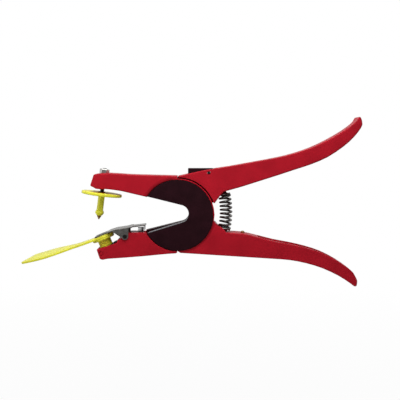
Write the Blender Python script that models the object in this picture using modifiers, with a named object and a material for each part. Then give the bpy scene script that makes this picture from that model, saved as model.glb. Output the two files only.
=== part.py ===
"""Ear tag applicator: two crossing castings that turn about an imaginary
centre in an open throat, with a loaded pair of tags, a sprung tag clip,
a catch lever and a return spring between the handles.

Metres, +Z up, +X towards the handles, +Y away from the viewer.
The origin is the turning centre, halfway through the width.
"""
import math

import bmesh
import bpy
from mathutils import Matrix, Vector

# Driving sizes of the whole tool
JAW_REACH = 0.0800
JAW_HEIGHT = 0.0385
LOWER_JAW_DROP = 0.0412
UPPER_HANDLE_REACH = 0.1680
UPPER_HANDLE_RISE = 0.0898
LOWER_HANDLE_REACH = 0.1649
LOWER_HANDLE_DROP = 0.0661
BODY_WIDTH = 0.0230
CLOSING_TRAVEL = 24.0

# Clearances
SEAT_GAP = 0.0003
CUT_OVERRUN = 0.0040
MERGE_DISTANCE = 0.00001

# Hub, seen along Y
COVER_RADIUS = 0.0324
RIM_LIP = 0.0013
RIM_RADIUS = COVER_RADIUS + RIM_LIP
HANDLE_ARC_GAP = 0.0012
JAW_ARC_GAP = 0.0007
THROAT_APEX_RADIUS = 0.0080
THROAT_APEX_X = 0.0020
THROAT_APEX_Z = 0.0015
THROAT_NARROW_SLOPE = 14.0
THROAT_WIDE_SLOPE = 17.2
RIM_STEP_ANGLE = 91.0
RIM_START_ANGLE = -90.0
FULL_TURN = 360.0
HALF_TURN = 180.0
QUARTER_TURN = 90.0

# Hub, through its width
COVER_THICKNESS = 0.0021
COVER_SETBACK = 0.0003
COVER_FLANGE = 0.0015
FLANGE_SEAT_END = 0.00015
LINER_THICKNESS = 0.0006
LINER_INSET = 0.0035
LINER_SETBACK = 0.0024
LINER_RADIUS = COVER_RADIUS - LINER_SETBACK
RIVET_CIRCLE_RADIUS = 0.0215
RIVET_RADIUS = 0.0024
RIVET_HEAD_RADIUS = 0.0044
RIVET_HEAD_HEIGHT = 0.0012
RIVET_ANGLES = (-78.0, -12.0, 54.0)
SLEEVE_WALL = 0.0010

# Castings
HANDLE_SPINE = 0.0032
HANDLE_WALL = 0.0030
CHANNEL_START_SHARE = 0.40
CHANNEL_END_SHARE = 0.90

# Applicator pin and its nut, on a line that leans from the vertical
PIN_CIRCLE_RADIUS = 0.0722
PIN_LEAN = 7.3
PIN_RADIUS = 0.00185
PIN_COLLAR_RADIUS = 0.0029
PIN_COLLAR_HEIGHT = 0.0012
PIN_COLLAR_BELOW_JAW = 0.0009
PIN_POINT_LENGTH = 0.0008
NUT_ACROSS_FLATS = 0.0080
NUT_HEIGHT = 0.0040
NUT_SEAT_DEPTH = 0.0006
NUT_THREAD_END = 0.0006
NUT_CHAMFER = 0.0005

# Male tag
MALE_DISC_RADIUS = 0.0186
MALE_DISC_THICKNESS = 0.0016
MALE_DISC_OFFSET = 0.0098
STUD_RADIUS = 0.0030
STUD_HEAD_RADIUS = 0.00405
STUD_HEAD_FROM_TIP = 0.0061
STUD_HEAD_SLOPE = 0.0012
STUD_TIP_REACH = 0.0131
TAG_TIP_LENGTH = 0.0035
TAG_TIP_RADIUS = 0.0021
TAG_TIP_STEM_RADIUS = 0.0009
TAG_TIP_STEM_LENGTH = 0.0015

# Female tag, square to a line that leans the other way
FEMALE_LEAN = 22.0
FEMALE_BORE_RADIUS = 0.0049
FEMALE_NECK_RADIUS = 0.0062
FEMALE_BUTTON_RADIUS = 0.0104
FEMALE_TOP = 0.0083
FLAG_THICKNESS = 0.0018
BUTTON_THICKNESS = 0.0022
NECK_GROOVE = 0.0005
NECK_RINGS = 3
NECK_BOTTOM = 0.0023
FLAG_LENGTH = 0.0790
FLAG_WIDTH = 0.0540
FLAG_NECK_WIDTH = 0.0220
FLAG_SHOULDER = 0.0550
FLAG_NECK_LENGTH = 0.0330
FLAG_CORNER = 0.0060
FLAG_TURN = 5.0
FLAG_BEND_RISE = 0.0065
FLAG_BEND_STEPS = 8

# Seat insert in the lower jaw
INSERT_HALF_WIDTH = 0.0076
INSERT_FRONT = 0.0064
INSERT_REAR = 0.0114
INSERT_THICKNESS = 0.0018
INSERT_STOP_HEIGHT = 0.0012
INSERT_STOP_LENGTH = 0.0040
TIP_POCKET_RADIUS = 0.0040
TIP_POCKET_DEPTH = 0.0043
SEAT_PIN_RADIUS = 0.0016
SEAT_PIN_SETBACK = 0.0009
SEAT_PIN_X = -0.0700
SEAT_PIN_Z = -0.0350

# Tag clip, bent from sheet
CLIP_PIVOT_X = -0.0482
CLIP_PIVOT_Z = -0.0191
CLIP_SHEET = 0.0011
CLIP_TAB_CLEARANCE = 0.0033
CLIP_SPRING_BELOW = 0.0014
CLIP_EAR_START = 205.0
CLIP_REACH_FRONT = 0.0282
CLIP_OVER_COVER = 0.0026
CLIP_REACH_REAR = CLIP_OVER_COVER - CLIP_PIVOT_X - COVER_RADIUS
CLIP_RISE = 0.0103
CLIP_TRAVEL = 10.0
CLIP_FRONT_HALF_WIDTH = 0.0090
CLIP_REAR_HALF_WIDTH = 0.0080
CLIP_EAR_GAP = 0.0004
CLIP_EAR_RADIUS = 0.0032
CLIP_EYE_RADIUS = 0.0054
CLIP_PIN_RADIUS = 0.0013
CLIP_PIN_HEAD_RADIUS = 0.0020
CLIP_PIN_HEAD_HEIGHT = 0.0007
CLIP_TAB_LENGTH = 0.0052
CLIP_TAB_HALF_WIDTH = 0.0040
CLIP_SPRING_FROM_COVER = 0.0021
CLIP_SPRING_X = -COVER_RADIUS - CLIP_SPRING_FROM_COVER
CLIP_SPRING_RADIUS = 0.0024
CLIP_SPRING_WIRE = 0.0008
CLIP_SPRING_TURNS = 6.0
CLIP_SPRING_POCKET_DEPTH = 0.0045

# Catch lever in the upper handle
LATCH_PIVOT_SHARES = (0.8457, 1.1513)
LATCH_REACH = 0.0191
LATCH_HEIGHT = 0.0041
LATCH_HALF_WIDTH = 0.0040
LATCH_TRAVEL = 13.0
LATCH_PIN_RADIUS = 0.0012
LATCH_TOOTH_LENGTH = 0.0027
NOTCH_DEPTH = 0.0025
NOTCH_START_ANGLE = 61.0
NOTCH_END_ANGLE = 73.0

# Return spring and its studs
SPRING_FROM_RIM = 0.0088
SPRING_BOTTOM_Z = -0.0158
SPRING_TOP_Z = 0.0211
SPRING_RADIUS = 0.0050
SPRING_WIRE = 0.0016
SPRING_END_GAP = 0.0006
SPRING_TURNS = 9.5
SPRING_BOW = 0.0022
POINTS_PER_TURN = 9
STUD_PEG_RADIUS = 0.0033
STUD_PEG_HEIGHT = 0.0048
STUD_PEG_ROUND = 0.0012
STUD_SHANK_RADIUS = 0.0022
STUD_SHANK_DEPTH = 0.0060

# Spare pin standing in the lower handle
SPARE_PIN_X = 0.0598
SPARE_PIN_LENGTH = 0.0180
SPARE_PIN_PROUD = 0.0018

# Facets
ARC_STEP = 10.0
ROUND_SIDES = 24
SMALL_SIDES = 16
DISC_SIDES = 36
HEX_SIDES = 6
HEX_HALF_CORNER = 30.0
SHARP_ANGLE = 35.0
FLAT_ANGLE = 0.1
BISECTION_STEPS = 40
MILLIMETRES = 1000.0

# Outlines, as shares of the reach along X and of the rise or drop along Z
UPPER_JAW_TOP_SHARES = (
    (-0.006, 0.935), (-0.27, 0.948), (-0.55, 0.966), (-0.81, 1.000), (-0.955, 0.974),
)
UPPER_JAW_FRONT_SHARES = ((-0.999, 0.700), (-0.965, 0.672))
UPPER_JAW_BOTTOM_SHARES = (
    (-0.935, 0.632), (-0.885, 0.621), (-0.825, 0.625), (-0.74, 0.607), (-0.64, 0.576),
)
LOWER_JAW_BOTTOM_SHARES = (
    (-0.020, 0.845), (-0.15, 0.863), (-0.40, 0.910), (-0.64, 0.947), (-0.80, 0.968),
    (-0.860, 0.993),
)
LOWER_JAW_FRONT_SHARES = ((-0.892, 0.975), (-0.929, 0.776))
LOWER_JAW_SEAT_SHARES = ((-0.886, 0.735), (-0.699, 0.617))
LOWER_JAW_LEDGE_SHARES = ((-0.688, 0.531), (-0.649, 0.528))
LOWER_JAW_STEP_SHARES = ((-0.640, 0.408), (-0.560, 0.389), (-0.370, 0.389))
UPPER_HANDLE_TOP_SHARES = (
    (0.006, 0.399), (0.056, 0.421), (0.160, 0.463), (0.285, 0.499), (0.417, 0.543),
    (0.549, 0.590), (0.636, 0.631), (0.724, 0.687), (0.812, 0.764), (0.899, 0.858),
    (0.952, 0.930), (0.975, 0.975), (0.988, 0.998), (0.997, 0.990), (1.000, 0.962),
)
UPPER_HANDLE_BOTTOM_SHARES = (
    (0.998, 0.925), (0.990, 0.883), (0.954, 0.795), (0.899, 0.700), (0.812, 0.591),
    (0.724, 0.519), (0.636, 0.465), (0.549, 0.411), (0.417, 0.332), (0.329, 0.281),
    (0.250, 0.240),
)
UPPER_HANDLE_TIP_SHARES = ((0.222, 0.178), (0.203, 0.127), (0.188, 0.120))
LOWER_HANDLE_BOTTOM_SHARES = (
    (0.015, 0.520), (0.157, 0.542), (0.360, 0.573), (0.448, 0.588), (0.536, 0.604),
    (0.626, 0.623), (0.715, 0.667), (0.805, 0.737), (0.894, 0.841), (0.961, 0.948),
    (0.983, 0.990), (0.996, 0.980),
)
LOWER_HANDLE_TOP_SHARES = (
    (1.000, 0.911), (0.983, 0.825), (0.961, 0.760), (0.894, 0.643), (0.805, 0.528),
    (0.715, 0.454), (0.626, 0.402), (0.536, 0.360), (0.448, 0.304), (0.358, 0.253),
    (0.270, 0.241),
)
LOWER_HANDLE_TIP_SHARES = ((0.247, 0.173), (0.224, 0.148), (0.201, 0.078))
CLIP_LINE_SHARES = (
    (-1.00, -0.11), (-0.50, 0.45), (-0.42, 0.52), (-0.30, 0.62), (0.05, 0.75),
    (0.22, 0.84), (1.00, 1.00),
)
LATCH_SHARES = (
    (-1.00, 1.00), (0.20, 1.00), (0.29, 0.30), (0.17, -0.75), (-0.06, -0.90),
    (-0.55, -0.72), (-0.84, -0.72),
)
LATCH_SLOT_SHARES = ((-1.07, 3.0), (0.42, 3.0), (0.42, -1.2), (-0.60, -2.2), (-1.07, -3.0))
HALF = 0.5

HALF_BODY = BODY_WIDTH * HALF
LATCH_PIVOT_X = RIM_RADIUS * LATCH_PIVOT_SHARES[0]
LATCH_PIVOT_Z = RIM_RADIUS * LATCH_PIVOT_SHARES[1]
SPRING_X = RIM_RADIUS + SPRING_FROM_RIM
COVER_FACE = HALF_BODY - COVER_SETBACK
WEB_FACE = COVER_FACE - COVER_THICKNESS - SEAT_GAP
LAP_FACE = LINER_THICKNESS * HALF + SEAT_GAP
HEAD_TOP = WEB_FACE - SEAT_GAP
HEAD_BOTTOM = HEAD_TOP - RIVET_HEAD_HEIGHT
SLEEVE_RADIUS = RIVET_RADIUS + SEAT_GAP + SLEEVE_WALL
HANDLE_ARC_RADIUS = RIM_RADIUS + HANDLE_ARC_GAP
JAW_ARC_RADIUS = COVER_RADIUS + JAW_ARC_GAP

NUT_CORNER = NUT_ACROSS_FLATS * HALF / math.cos(math.radians(HEX_HALF_CORNER))

PARTS = "ear_tag_applicator"
CUTTERS = "cutters"


# Points and outlines

def polar(radius, angle):
    """A point on a circle about the turning centre, its angle in degrees."""
    turn = math.radians(angle)
    return (radius * math.cos(turn), radius * math.sin(turn))


def arc(radius, start, end, centre=(0.0, 0.0)):
    """Points on an arc from start to end, in degrees."""
    steps = max(2, math.ceil(abs(end - start) / ARC_STEP))
    points = []
    for step in range(steps + 1):
        x, z = polar(radius, start + (end - start) * step / steps)
        points.append((centre[0] + x, centre[1] + z))
    return points


def scaled(shares, reach, rise):
    """Turns a table of shares into points."""
    return [(along * reach, up * rise) for along, up in shares]


def smooth(points, steps=2):
    """A Catmull-Rom curve through the points, ends kept."""
    if len(points) < 3:
        return list(points)
    result = []
    padded = [points[0], *points, points[-1]]
    for index in range(1, len(padded) - 2):
        a, b, c, d = (Vector(padded[index + shift]) for shift in (-1, 0, 1, 2))
        for step in range(steps):
            t = step / steps
            value = b * 2 + (c - a) * t
            value += (a * 2 - b * 5 + c * 4 - d) * t ** 2
            value += (b * 3 - a - c * 3 + d) * t ** 3
            result.append(tuple(value * HALF))
    result.append(tuple(points[-1]))
    return result


def throat_point(slope, side, reach, offset=0.0):
    """A point on the throat's edge at X = -reach; side is +1 above, -1 below."""
    radius = THROAT_APEX_RADIUS + offset
    tangent = math.tan(math.radians(slope))
    rise = radius / math.cos(math.radians(slope)) + tangent * (THROAT_APEX_X + reach)
    return (-reach, THROAT_APEX_Z + side * rise)


def throat_at_radius(slope, side, radius, offset=0.0):
    """Where the throat's edge meets a circle about the turning centre."""
    low, high = 0.0, radius
    for _ in range(BISECTION_STEPS):
        middle = (low + high) * HALF
        if math.hypot(*throat_point(slope, side, middle, offset)) < radius:
            low = middle
        else:
            high = middle
    return throat_point(slope, side, low, offset)


def throat_apex(upper_slope, lower_slope, offset=0.0):
    """The round end of the throat, from its upper edge to its lower one."""
    centre = (THROAT_APEX_X, THROAT_APEX_Z)
    return arc(THROAT_APEX_RADIUS + offset, QUARTER_TURN - upper_slope, lower_slope - QUARTER_TURN,
               centre)


def angle_of(point):
    """The polar angle of a point, in degrees."""
    return math.degrees(math.atan2(point[1], point[0]))


# Objects

def collection(name):
    """Finds or makes a collection in the scene."""
    found = bpy.data.collections.get(name)
    if found is None:
        found = bpy.data.collections.new(name)
        bpy.context.scene.collection.children.link(found)
    return found


def finish_material(name, colour, metallic, roughness):
    """A Principled material."""
    material = bpy.data.materials.new(name)
    material.use_nodes = True
    shader = material.node_tree.nodes["Principled BSDF"]
    shader.inputs["Base Color"].default_value = (*colour, 1.0)
    shader.inputs["Metallic"].default_value = metallic
    shader.inputs["Roughness"].default_value = roughness
    material.diffuse_color = (*colour, 1.0)
    return material


def add_object(name, data, group):
    """Links a new object to a collection."""
    made = bpy.data.objects.new(name, data)
    collection(group).objects.link(made)
    if group == CUTTERS:
        made.hide_render = True
        made.display_type = "WIRE"
    return made


def apply_all(made):
    """Turns an object, curve or mesh, into one welded mesh in world space."""
    bpy.context.view_layer.update()
    graph = bpy.context.evaluated_depsgraph_get()
    mesh = bpy.data.meshes.new_from_object(made.evaluated_get(graph))
    mesh.transform(made.matrix_world)
    work = bmesh.new()
    work.from_mesh(mesh)
    bmesh.ops.remove_doubles(work, verts=work.verts, dist=MERGE_DISTANCE)
    bmesh.ops.recalc_face_normals(work, faces=work.faces)
    work.to_mesh(mesh)
    work.free()
    name = made.name
    group = made.users_collection[0].name
    bpy.data.objects.remove(made)
    mesh.materials.clear()
    return add_object(name, mesh, group)


def flatten_caps(made):
    """Makes each flat end of a slab one face."""
    work = bmesh.new()
    work.from_mesh(made.data)
    bmesh.ops.dissolve_limit(work, angle_limit=math.radians(FLAT_ANGLE), verts=work.verts,
                             edges=work.edges)
    work.to_mesh(made.data)
    work.free()


def slab(name, points, low, high, group=PARTS):
    """A closed outline in X and Z, given its width from low to high along Y."""
    curve = bpy.data.curves.new(name, "CURVE")
    curve.dimensions = "2D"
    curve.fill_mode = "BOTH"
    curve.extrude = (high - low) * HALF
    line = curve.splines.new("POLY")
    line.points.add(len(points) - 1)
    for point, (x, z) in zip(line.points, points):
        point.co = (x, z, 0.0, 1.0)
    line.use_cyclic_u = True
    made = add_object(name, curve, group)
    made.location = (0.0, (low + high) * HALF, 0.0)
    made.rotation_euler = (math.radians(QUARTER_TURN), 0.0, 0.0)
    made = apply_all(made)
    flatten_caps(made)
    return made


def turned(name, profile, place=None, sides=ROUND_SIDES, group=PARTS):
    """A turned shape. The profile's pairs are radius and height, top to bottom."""
    mesh = bpy.data.meshes.new(name)
    vertices = [(radius, 0.0, height) for radius, height in profile]
    edges = [(index, index + 1) for index in range(len(profile) - 1)]
    if profile[0][0] > 0.0:
        edges.append((len(profile) - 1, 0))
    mesh.from_pydata(vertices, edges, [])
    made = add_object(name, mesh, group)
    screw = made.modifiers.new("turn", "SCREW")
    screw.steps = sides
    screw.render_steps = sides
    screw.use_merge_vertices = True
    screw.merge_threshold = MERGE_DISTANCE
    screw.use_normal_calculate = True
    if place is not None:
        made.matrix_world = place
    return apply_all(made)


def rod(name, radius, low, high, place=None, sides=SMALL_SIDES, group=PARTS):
    """A plain round rod along the local Z of its place."""
    profile = [(0.0, high), (radius, high), (radius, low), (0.0, low)]
    return turned(name, profile, place, sides, group)


def across(x, z):
    """A place whose local Z runs along +Y through a point of the side view."""
    return Matrix.Translation((x, 0.0, z)) @ Matrix.Rotation(math.radians(-QUARTER_TURN), 4, "X")


def cut(made, tool, operation="DIFFERENCE", solver="EXACT"):
    """Cuts, joins or trims one object by another and applies the result."""
    step = made.modifiers.new("cut", "BOOLEAN")
    step.object = tool
    step.operation = operation
    step.solver = solver
    made = apply_all(made)
    if operation == "UNION":
        bpy.data.objects.remove(tool)
    return made


def carve(made, tool):
    """Cuts a casting, where the exact solver leaves open edges."""
    return cut(made, tool, solver="MANIFOLD")


def on_axis(made, x, z):
    """Moves an object's origin to a joint axis without moving its shape."""
    shift = Vector((x, 0.0, z))
    made.data.transform(Matrix.Translation(-shift))
    made.location = shift
    return made


def dress(made, material):
    """Gives an object its material and smooth round faces."""
    made.data.materials.clear()
    made.data.materials.append(material)
    made.data.shade_smooth()
    made.data.set_sharp_from_angle(angle=math.radians(SHARP_ANGLE))
    return made


# The two castings

def hub_clearance():
    """The space the other half's hub turns in: wide beside the handle."""
    points = arc(HANDLE_ARC_RADIUS, -RIM_STEP_ANGLE, RIM_STEP_ANGLE)
    points += arc(JAW_ARC_RADIUS, RIM_STEP_ANGLE, FULL_TURN - RIM_STEP_ANGLE)
    return points


def channel(outer_edge, inner_edge):
    """The open channel along a handle's inner edge."""
    outer = []
    inner = []
    for outer_point, inner_point in zip(outer_edge, inner_edge):
        outer_point = Vector(outer_point)
        inner_point = Vector(inner_point)
        line = (inner_point - outer_point).normalized()
        outer.append(tuple(outer_point + line * HANDLE_SPINE))
        inner.append(tuple(inner_point + line * CUT_OVERRUN))
    return outer + inner[::-1]


def within(points, reach):
    """The points of an edge between the channel's two ends."""
    low = CHANNEL_START_SHARE * reach
    high = CHANNEL_END_SHARE * reach
    return [point for point in points if low < point[0] < high]


def upper_jaw_casting():
    """Upper jaw, near half of the hub and lower handle in one piece."""
    top = scaled(UPPER_JAW_TOP_SHARES, JAW_REACH, JAW_HEIGHT)
    front = scaled(UPPER_JAW_FRONT_SHARES, JAW_REACH, JAW_HEIGHT)
    boss = scaled(UPPER_JAW_BOTTOM_SHARES, JAW_REACH, JAW_HEIGHT)
    handle_bottom = scaled(LOWER_HANDLE_BOTTOM_SHARES, LOWER_HANDLE_REACH, -LOWER_HANDLE_DROP)
    handle_top = scaled(LOWER_HANDLE_TOP_SHARES, LOWER_HANDLE_REACH, -LOWER_HANDLE_DROP)
    handle_tip = scaled(LOWER_HANDLE_TIP_SHARES, LOWER_HANDLE_REACH, -LOWER_HANDLE_DROP)
    lower_end = throat_at_radius(THROAT_WIDE_SLOPE, -1, COVER_RADIUS)
    points = smooth(top) + front + smooth(boss)
    points += throat_apex(THROAT_NARROW_SLOPE, THROAT_WIDE_SLOPE)
    points += arc(COVER_RADIUS, angle_of(lower_end), -RIM_STEP_ANGLE)
    points += smooth(handle_bottom) + smooth(handle_top) + handle_tip
    points += arc(RIM_RADIUS, angle_of(handle_tip[-1]), RIM_STEP_ANGLE)[1:]
    made = slab("upper_jaw_casting", points, -HALF_BODY, HALF_BODY)
    made = carve(made, slab("upper_hub_space", hub_clearance(), -LAP_FACE, HALF_BODY + CUT_OVERRUN,
                          CUTTERS))
    made = cut_hub_seat(made, -1, THROAT_NARROW_SLOPE, THROAT_WIDE_SLOPE)
    for angle in RIVET_ANGLES:
        place = across(*polar(RIVET_CIRCLE_RADIUS, angle))
        made = carve(made, rod("rivet_hole", RIVET_RADIUS + SEAT_GAP, -HALF_BODY, HALF_BODY, place,
                             group=CUTTERS))
        head_space = rod("head_hole", RIVET_HEAD_RADIUS + SEAT_GAP, -HALF_BODY,
                         -HEAD_BOTTOM + SEAT_GAP, place, group=CUTTERS)
        made = carve(made, head_space)
    for shift in (0.0, CLOSING_TRAVEL):
        notch = arc(RIM_RADIUS - NOTCH_DEPTH, NOTCH_START_ANGLE - shift, NOTCH_END_ANGLE - shift)
        notch += arc(RIM_RADIUS + CUT_OVERRUN, NOTCH_END_ANGLE - shift, NOTCH_START_ANGLE - shift)
        made = carve(made, slab("catch_notch", notch, -LATCH_HALF_WIDTH - SEAT_GAP, HALF_BODY, CUTTERS))
    edge_low = within(handle_bottom, LOWER_HANDLE_REACH)
    edge_high = within(handle_top, LOWER_HANDLE_REACH)[::-1]
    hollow = channel(edge_low, edge_high)
    inner = HALF_BODY - HANDLE_WALL
    made = carve(made, slab("lower_channel", hollow, -inner, inner, CUTTERS))
    made = carve(made, rod("pin_hole", PIN_RADIUS + SEAT_GAP, -JAW_REACH, -PIN_JAW_EXIT + CUT_OVERRUN,
                         pin_place(), group=CUTTERS))
    made = carve(made, rod("nut_seat", NUT_CORNER + SEAT_GAP,
                         -JAW_REACH, -NUT_SEAT, pin_place(), group=CUTTERS))
    stud = Matrix.Translation((SPRING_X, 0.0, SPRING_BOTTOM_Z))
    made = carve(made, rod("lower_spring_pocket", SPRING_RADIUS + SPRING_WIRE, 0.0, JAW_HEIGHT, stud,
                         group=CUTTERS))
    made = carve(made, rod("lower_stud_hole", STUD_SHANK_RADIUS + SEAT_GAP,
                         -STUD_SHANK_DEPTH - SEAT_GAP, CUT_OVERRUN, stud, group=CUTTERS))
    spare = Matrix.Translation((SPARE_PIN_X, 0.0, spare_pin_top()))
    made = carve(made, rod("spare_hole", PIN_RADIUS + SEAT_GAP, -SPARE_PIN_LENGTH - SEAT_GAP,
                         CUT_OVERRUN, spare, group=CUTTERS))
    return made


def lower_jaw_casting():
    """Lower jaw, far half of the hub and upper handle in one piece."""
    bottom = scaled(LOWER_JAW_BOTTOM_SHARES, JAW_REACH, -LOWER_JAW_DROP)
    front = scaled(LOWER_JAW_FRONT_SHARES, JAW_REACH, -LOWER_JAW_DROP)
    seat = scaled(LOWER_JAW_SEAT_SHARES, JAW_REACH, -LOWER_JAW_DROP)
    ledge = scaled(LOWER_JAW_LEDGE_SHARES, JAW_REACH, -LOWER_JAW_DROP)
    step = scaled(LOWER_JAW_STEP_SHARES, JAW_REACH, -LOWER_JAW_DROP)
    handle_top = scaled(UPPER_HANDLE_TOP_SHARES, UPPER_HANDLE_REACH, UPPER_HANDLE_RISE)
    handle_bottom = scaled(UPPER_HANDLE_BOTTOM_SHARES, UPPER_HANDLE_REACH, UPPER_HANDLE_RISE)
    handle_tip = scaled(UPPER_HANDLE_TIP_SHARES, UPPER_HANDLE_REACH, UPPER_HANDLE_RISE)
    upper_end = throat_at_radius(THROAT_WIDE_SLOPE, 1, COVER_RADIUS)
    lower_end = throat_point(THROAT_NARROW_SLOPE, -1, -step[-1][0])
    points = smooth(handle_top) + smooth(handle_bottom) + handle_tip
    points += arc(RIM_RADIUS, angle_of(handle_tip[-1]), RIM_START_ANGLE)[1:]
    points += smooth(bottom) + front + seat + ledge + step + [lower_end]
    points += throat_apex(THROAT_WIDE_SLOPE, THROAT_NARROW_SLOPE)[::-1]
    points += arc(COVER_RADIUS, angle_of(upper_end), RIM_STEP_ANGLE)
    made = slab("lower_jaw_casting", points, -HALF_BODY, HALF_BODY)
    made = carve(made, slab("lower_hub_space", hub_clearance(), -HALF_BODY - CUT_OVERRUN, LAP_FACE,
                          CUTTERS))
    made = cut_hub_seat(made, 1, THROAT_WIDE_SLOPE, THROAT_NARROW_SLOPE)
    for angle in RIVET_ANGLES:
        for name, radius, low in (
            ("sleeve_slot", SLEEVE_RADIUS + SEAT_GAP, -HALF_BODY),
            ("head_slot", RIVET_HEAD_RADIUS + SEAT_GAP, HEAD_BOTTOM - SEAT_GAP),
        ):
            made = carve(made, slab(name, arc_slot(radius, angle), low, HALF_BODY, CUTTERS))
    edge_high = within(handle_top, UPPER_HANDLE_REACH)
    edge_low = within(handle_bottom, UPPER_HANDLE_REACH)[::-1]
    hollow = channel(edge_high, edge_low)
    inner = HALF_BODY - HANDLE_WALL
    made = carve(made, slab("upper_channel", hollow, -inner, inner, CUTTERS))
    slot = [(LATCH_PIVOT_X + x * LATCH_REACH, LATCH_PIVOT_Z + z * LATCH_HEIGHT)
            for x, z in LATCH_SLOT_SHARES]
    slot_half = LATCH_HALF_WIDTH + SEAT_GAP
    made = carve(made, slab("latch_slot", slot, -slot_half, slot_half, CUTTERS))
    made = carve(made, rod("latch_hole", LATCH_PIN_RADIUS + SEAT_GAP, -HALF_BODY - CUT_OVERRUN,
                         HALF_BODY + CUT_OVERRUN, across(LATCH_PIVOT_X, LATCH_PIVOT_Z), group=CUTTERS))
    made = carve(made, rod("clip_hole", CLIP_PIN_RADIUS + SEAT_GAP, -HALF_BODY - CUT_OVERRUN,
                         HALF_BODY + CUT_OVERRUN, across(CLIP_PIVOT_X, CLIP_PIVOT_Z), group=CUTTERS))
    made = cut_tag_seat(made)
    stud = Matrix.Translation((SPRING_X, 0.0, SPRING_TOP_Z))
    made = carve(made, rod("upper_spring_pocket", SPRING_RADIUS + SPRING_WIRE, -JAW_HEIGHT, 0.0, stud,
                         group=CUTTERS))
    made = carve(made, rod("upper_stud_hole", STUD_SHANK_RADIUS + SEAT_GAP, -CUT_OVERRUN,
                         STUD_SHANK_DEPTH + SEAT_GAP, stud, group=CUTTERS))
    return made


def cut_hub_seat(made, side, upper_slope, lower_slope):
    """Sinks the seat of a hub cover, and of its flange along the throat."""
    radius = COVER_RADIUS + SEAT_GAP
    low, high = sorted((side * WEB_FACE, side * (HALF_BODY + CUT_OVERRUN)))
    made = carve(made, slab("cover_seat", arc(radius, 0.0, FULL_TURN)[:-1], low, high, CUTTERS))
    offset = COVER_FLANGE + SEAT_GAP
    upper = throat_at_radius(upper_slope, 1, radius, offset)
    lower = throat_at_radius(lower_slope, -1, radius, offset)
    points = [upper] + throat_apex(upper_slope, lower_slope, offset) + [lower]
    points += arc(radius, angle_of(lower) + FULL_TURN, angle_of(upper))[1:-1]
    low, high = sorted((side * FLANGE_SEAT_END, side * (WEB_FACE + SEAT_GAP)))
    return carve(made, slab("flange_seat", points, low, high, CUTTERS))


def arc_slot(radius, angle):
    """A curved slot about the turning centre, for a guide that starts at angle."""
    end = angle + CLOSING_TRAVEL
    start_centre = polar(RIVET_CIRCLE_RADIUS, angle)
    end_centre = polar(RIVET_CIRCLE_RADIUS, end)
    points = arc(RIVET_CIRCLE_RADIUS + radius, angle, end)
    points += arc_about(end_centre, radius, end, end + HALF_TURN)[1:-1]
    points += arc(RIVET_CIRCLE_RADIUS - radius, end, angle)
    points += arc_about(start_centre, radius, angle + HALF_TURN, angle + FULL_TURN)[1:-1]
    return points


def arc_about(centre, radius, start, end):
    """An arc about another centre, in coarse steps."""
    steps = round(SMALL_SIDES * HALF)
    points = []
    for step in range(steps + 1):
        x, z = polar(radius, start + (end - start) * step / steps)
        points.append((centre[0] + x, centre[1] + z))
    return points


# Hub pieces

def hub_cover(name, side, upper_slope, lower_slope):
    """A C-shaped cover with a flange that lines the throat."""
    upper = throat_at_radius(upper_slope, 1, COVER_RADIUS)
    lower = throat_at_radius(lower_slope, -1, COVER_RADIUS)
    apex = throat_apex(upper_slope, lower_slope)
    points = [upper] + apex + [lower]
    points += arc(COVER_RADIUS, angle_of(lower), angle_of(upper))[1:-1]
    flange_end = LAP_FACE * HALF + SEAT_GAP
    low, high = sorted((side * flange_end, side * COVER_FACE))
    made = slab(name, points, low, high)
    inner_radius = COVER_RADIUS + CUT_OVERRUN
    upper = throat_at_radius(upper_slope, 1, inner_radius, COVER_FLANGE)
    lower = throat_at_radius(lower_slope, -1, inner_radius, COVER_FLANGE)
    points = [upper] + throat_apex(upper_slope, lower_slope, COVER_FLANGE) + [lower]
    points += arc(inner_radius, angle_of(lower), angle_of(upper))[1:-1]
    low, high = sorted((0.0, side * (COVER_FACE - COVER_THICKNESS)))
    return cut(made, slab(name + "_hollow", points, low, high, CUTTERS))


def hub_liner():
    """A thin wear plate between the two halves of the hub."""
    upper = throat_at_radius(THROAT_WIDE_SLOPE, 1, LINER_RADIUS, LINER_INSET)
    lower = throat_at_radius(THROAT_WIDE_SLOPE, -1, LINER_RADIUS, LINER_INSET)
    points = [upper] + throat_apex(THROAT_WIDE_SLOPE, THROAT_WIDE_SLOPE, LINER_INSET) + [lower]
    points += arc(LINER_RADIUS, angle_of(lower), angle_of(upper))[1:-1]
    half = LINER_THICKNESS * HALF
    made = slab("hub_liner", points, -half, half)
    for angle in RIVET_ANGLES:
        place = across(*polar(RIVET_CIRCLE_RADIUS, angle))
        made = cut(made, rod("liner_hole", RIVET_RADIUS + SEAT_GAP, -HALF_BODY, HALF_BODY, place,
                             group=CUTTERS))
    return made


def guide_rivet(number, angle):
    """A rivet fixed in the near half, whose far head holds the far half."""
    profile = [
        (0.0, HEAD_TOP), (RIVET_HEAD_RADIUS, HEAD_TOP), (RIVET_HEAD_RADIUS, HEAD_BOTTOM),
        (RIVET_RADIUS, HEAD_BOTTOM), (RIVET_RADIUS, -HEAD_BOTTOM),
        (RIVET_HEAD_RADIUS, -HEAD_BOTTOM), (RIVET_HEAD_RADIUS, -HEAD_TOP), (0.0, -HEAD_TOP),
    ]
    place = across(*polar(RIVET_CIRCLE_RADIUS, angle))
    return turned(f"guide_rivet_{number}", profile, place, SMALL_SIDES)


def guide_sleeve(number, angle):
    """A sleeve round a rivet, which runs in an arc slot of the far half."""
    low = LAP_FACE
    high = HEAD_BOTTOM - SEAT_GAP
    bore = RIVET_RADIUS + SEAT_GAP
    profile = [(SLEEVE_RADIUS, high), (SLEEVE_RADIUS, low), (bore, low), (bore, high)]
    place = across(*polar(RIVET_CIRCLE_RADIUS, angle))
    return turned(f"guide_sleeve_{number}", profile, place, SMALL_SIDES)


# Applicator pin and male tag, on the pin's own line

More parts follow.
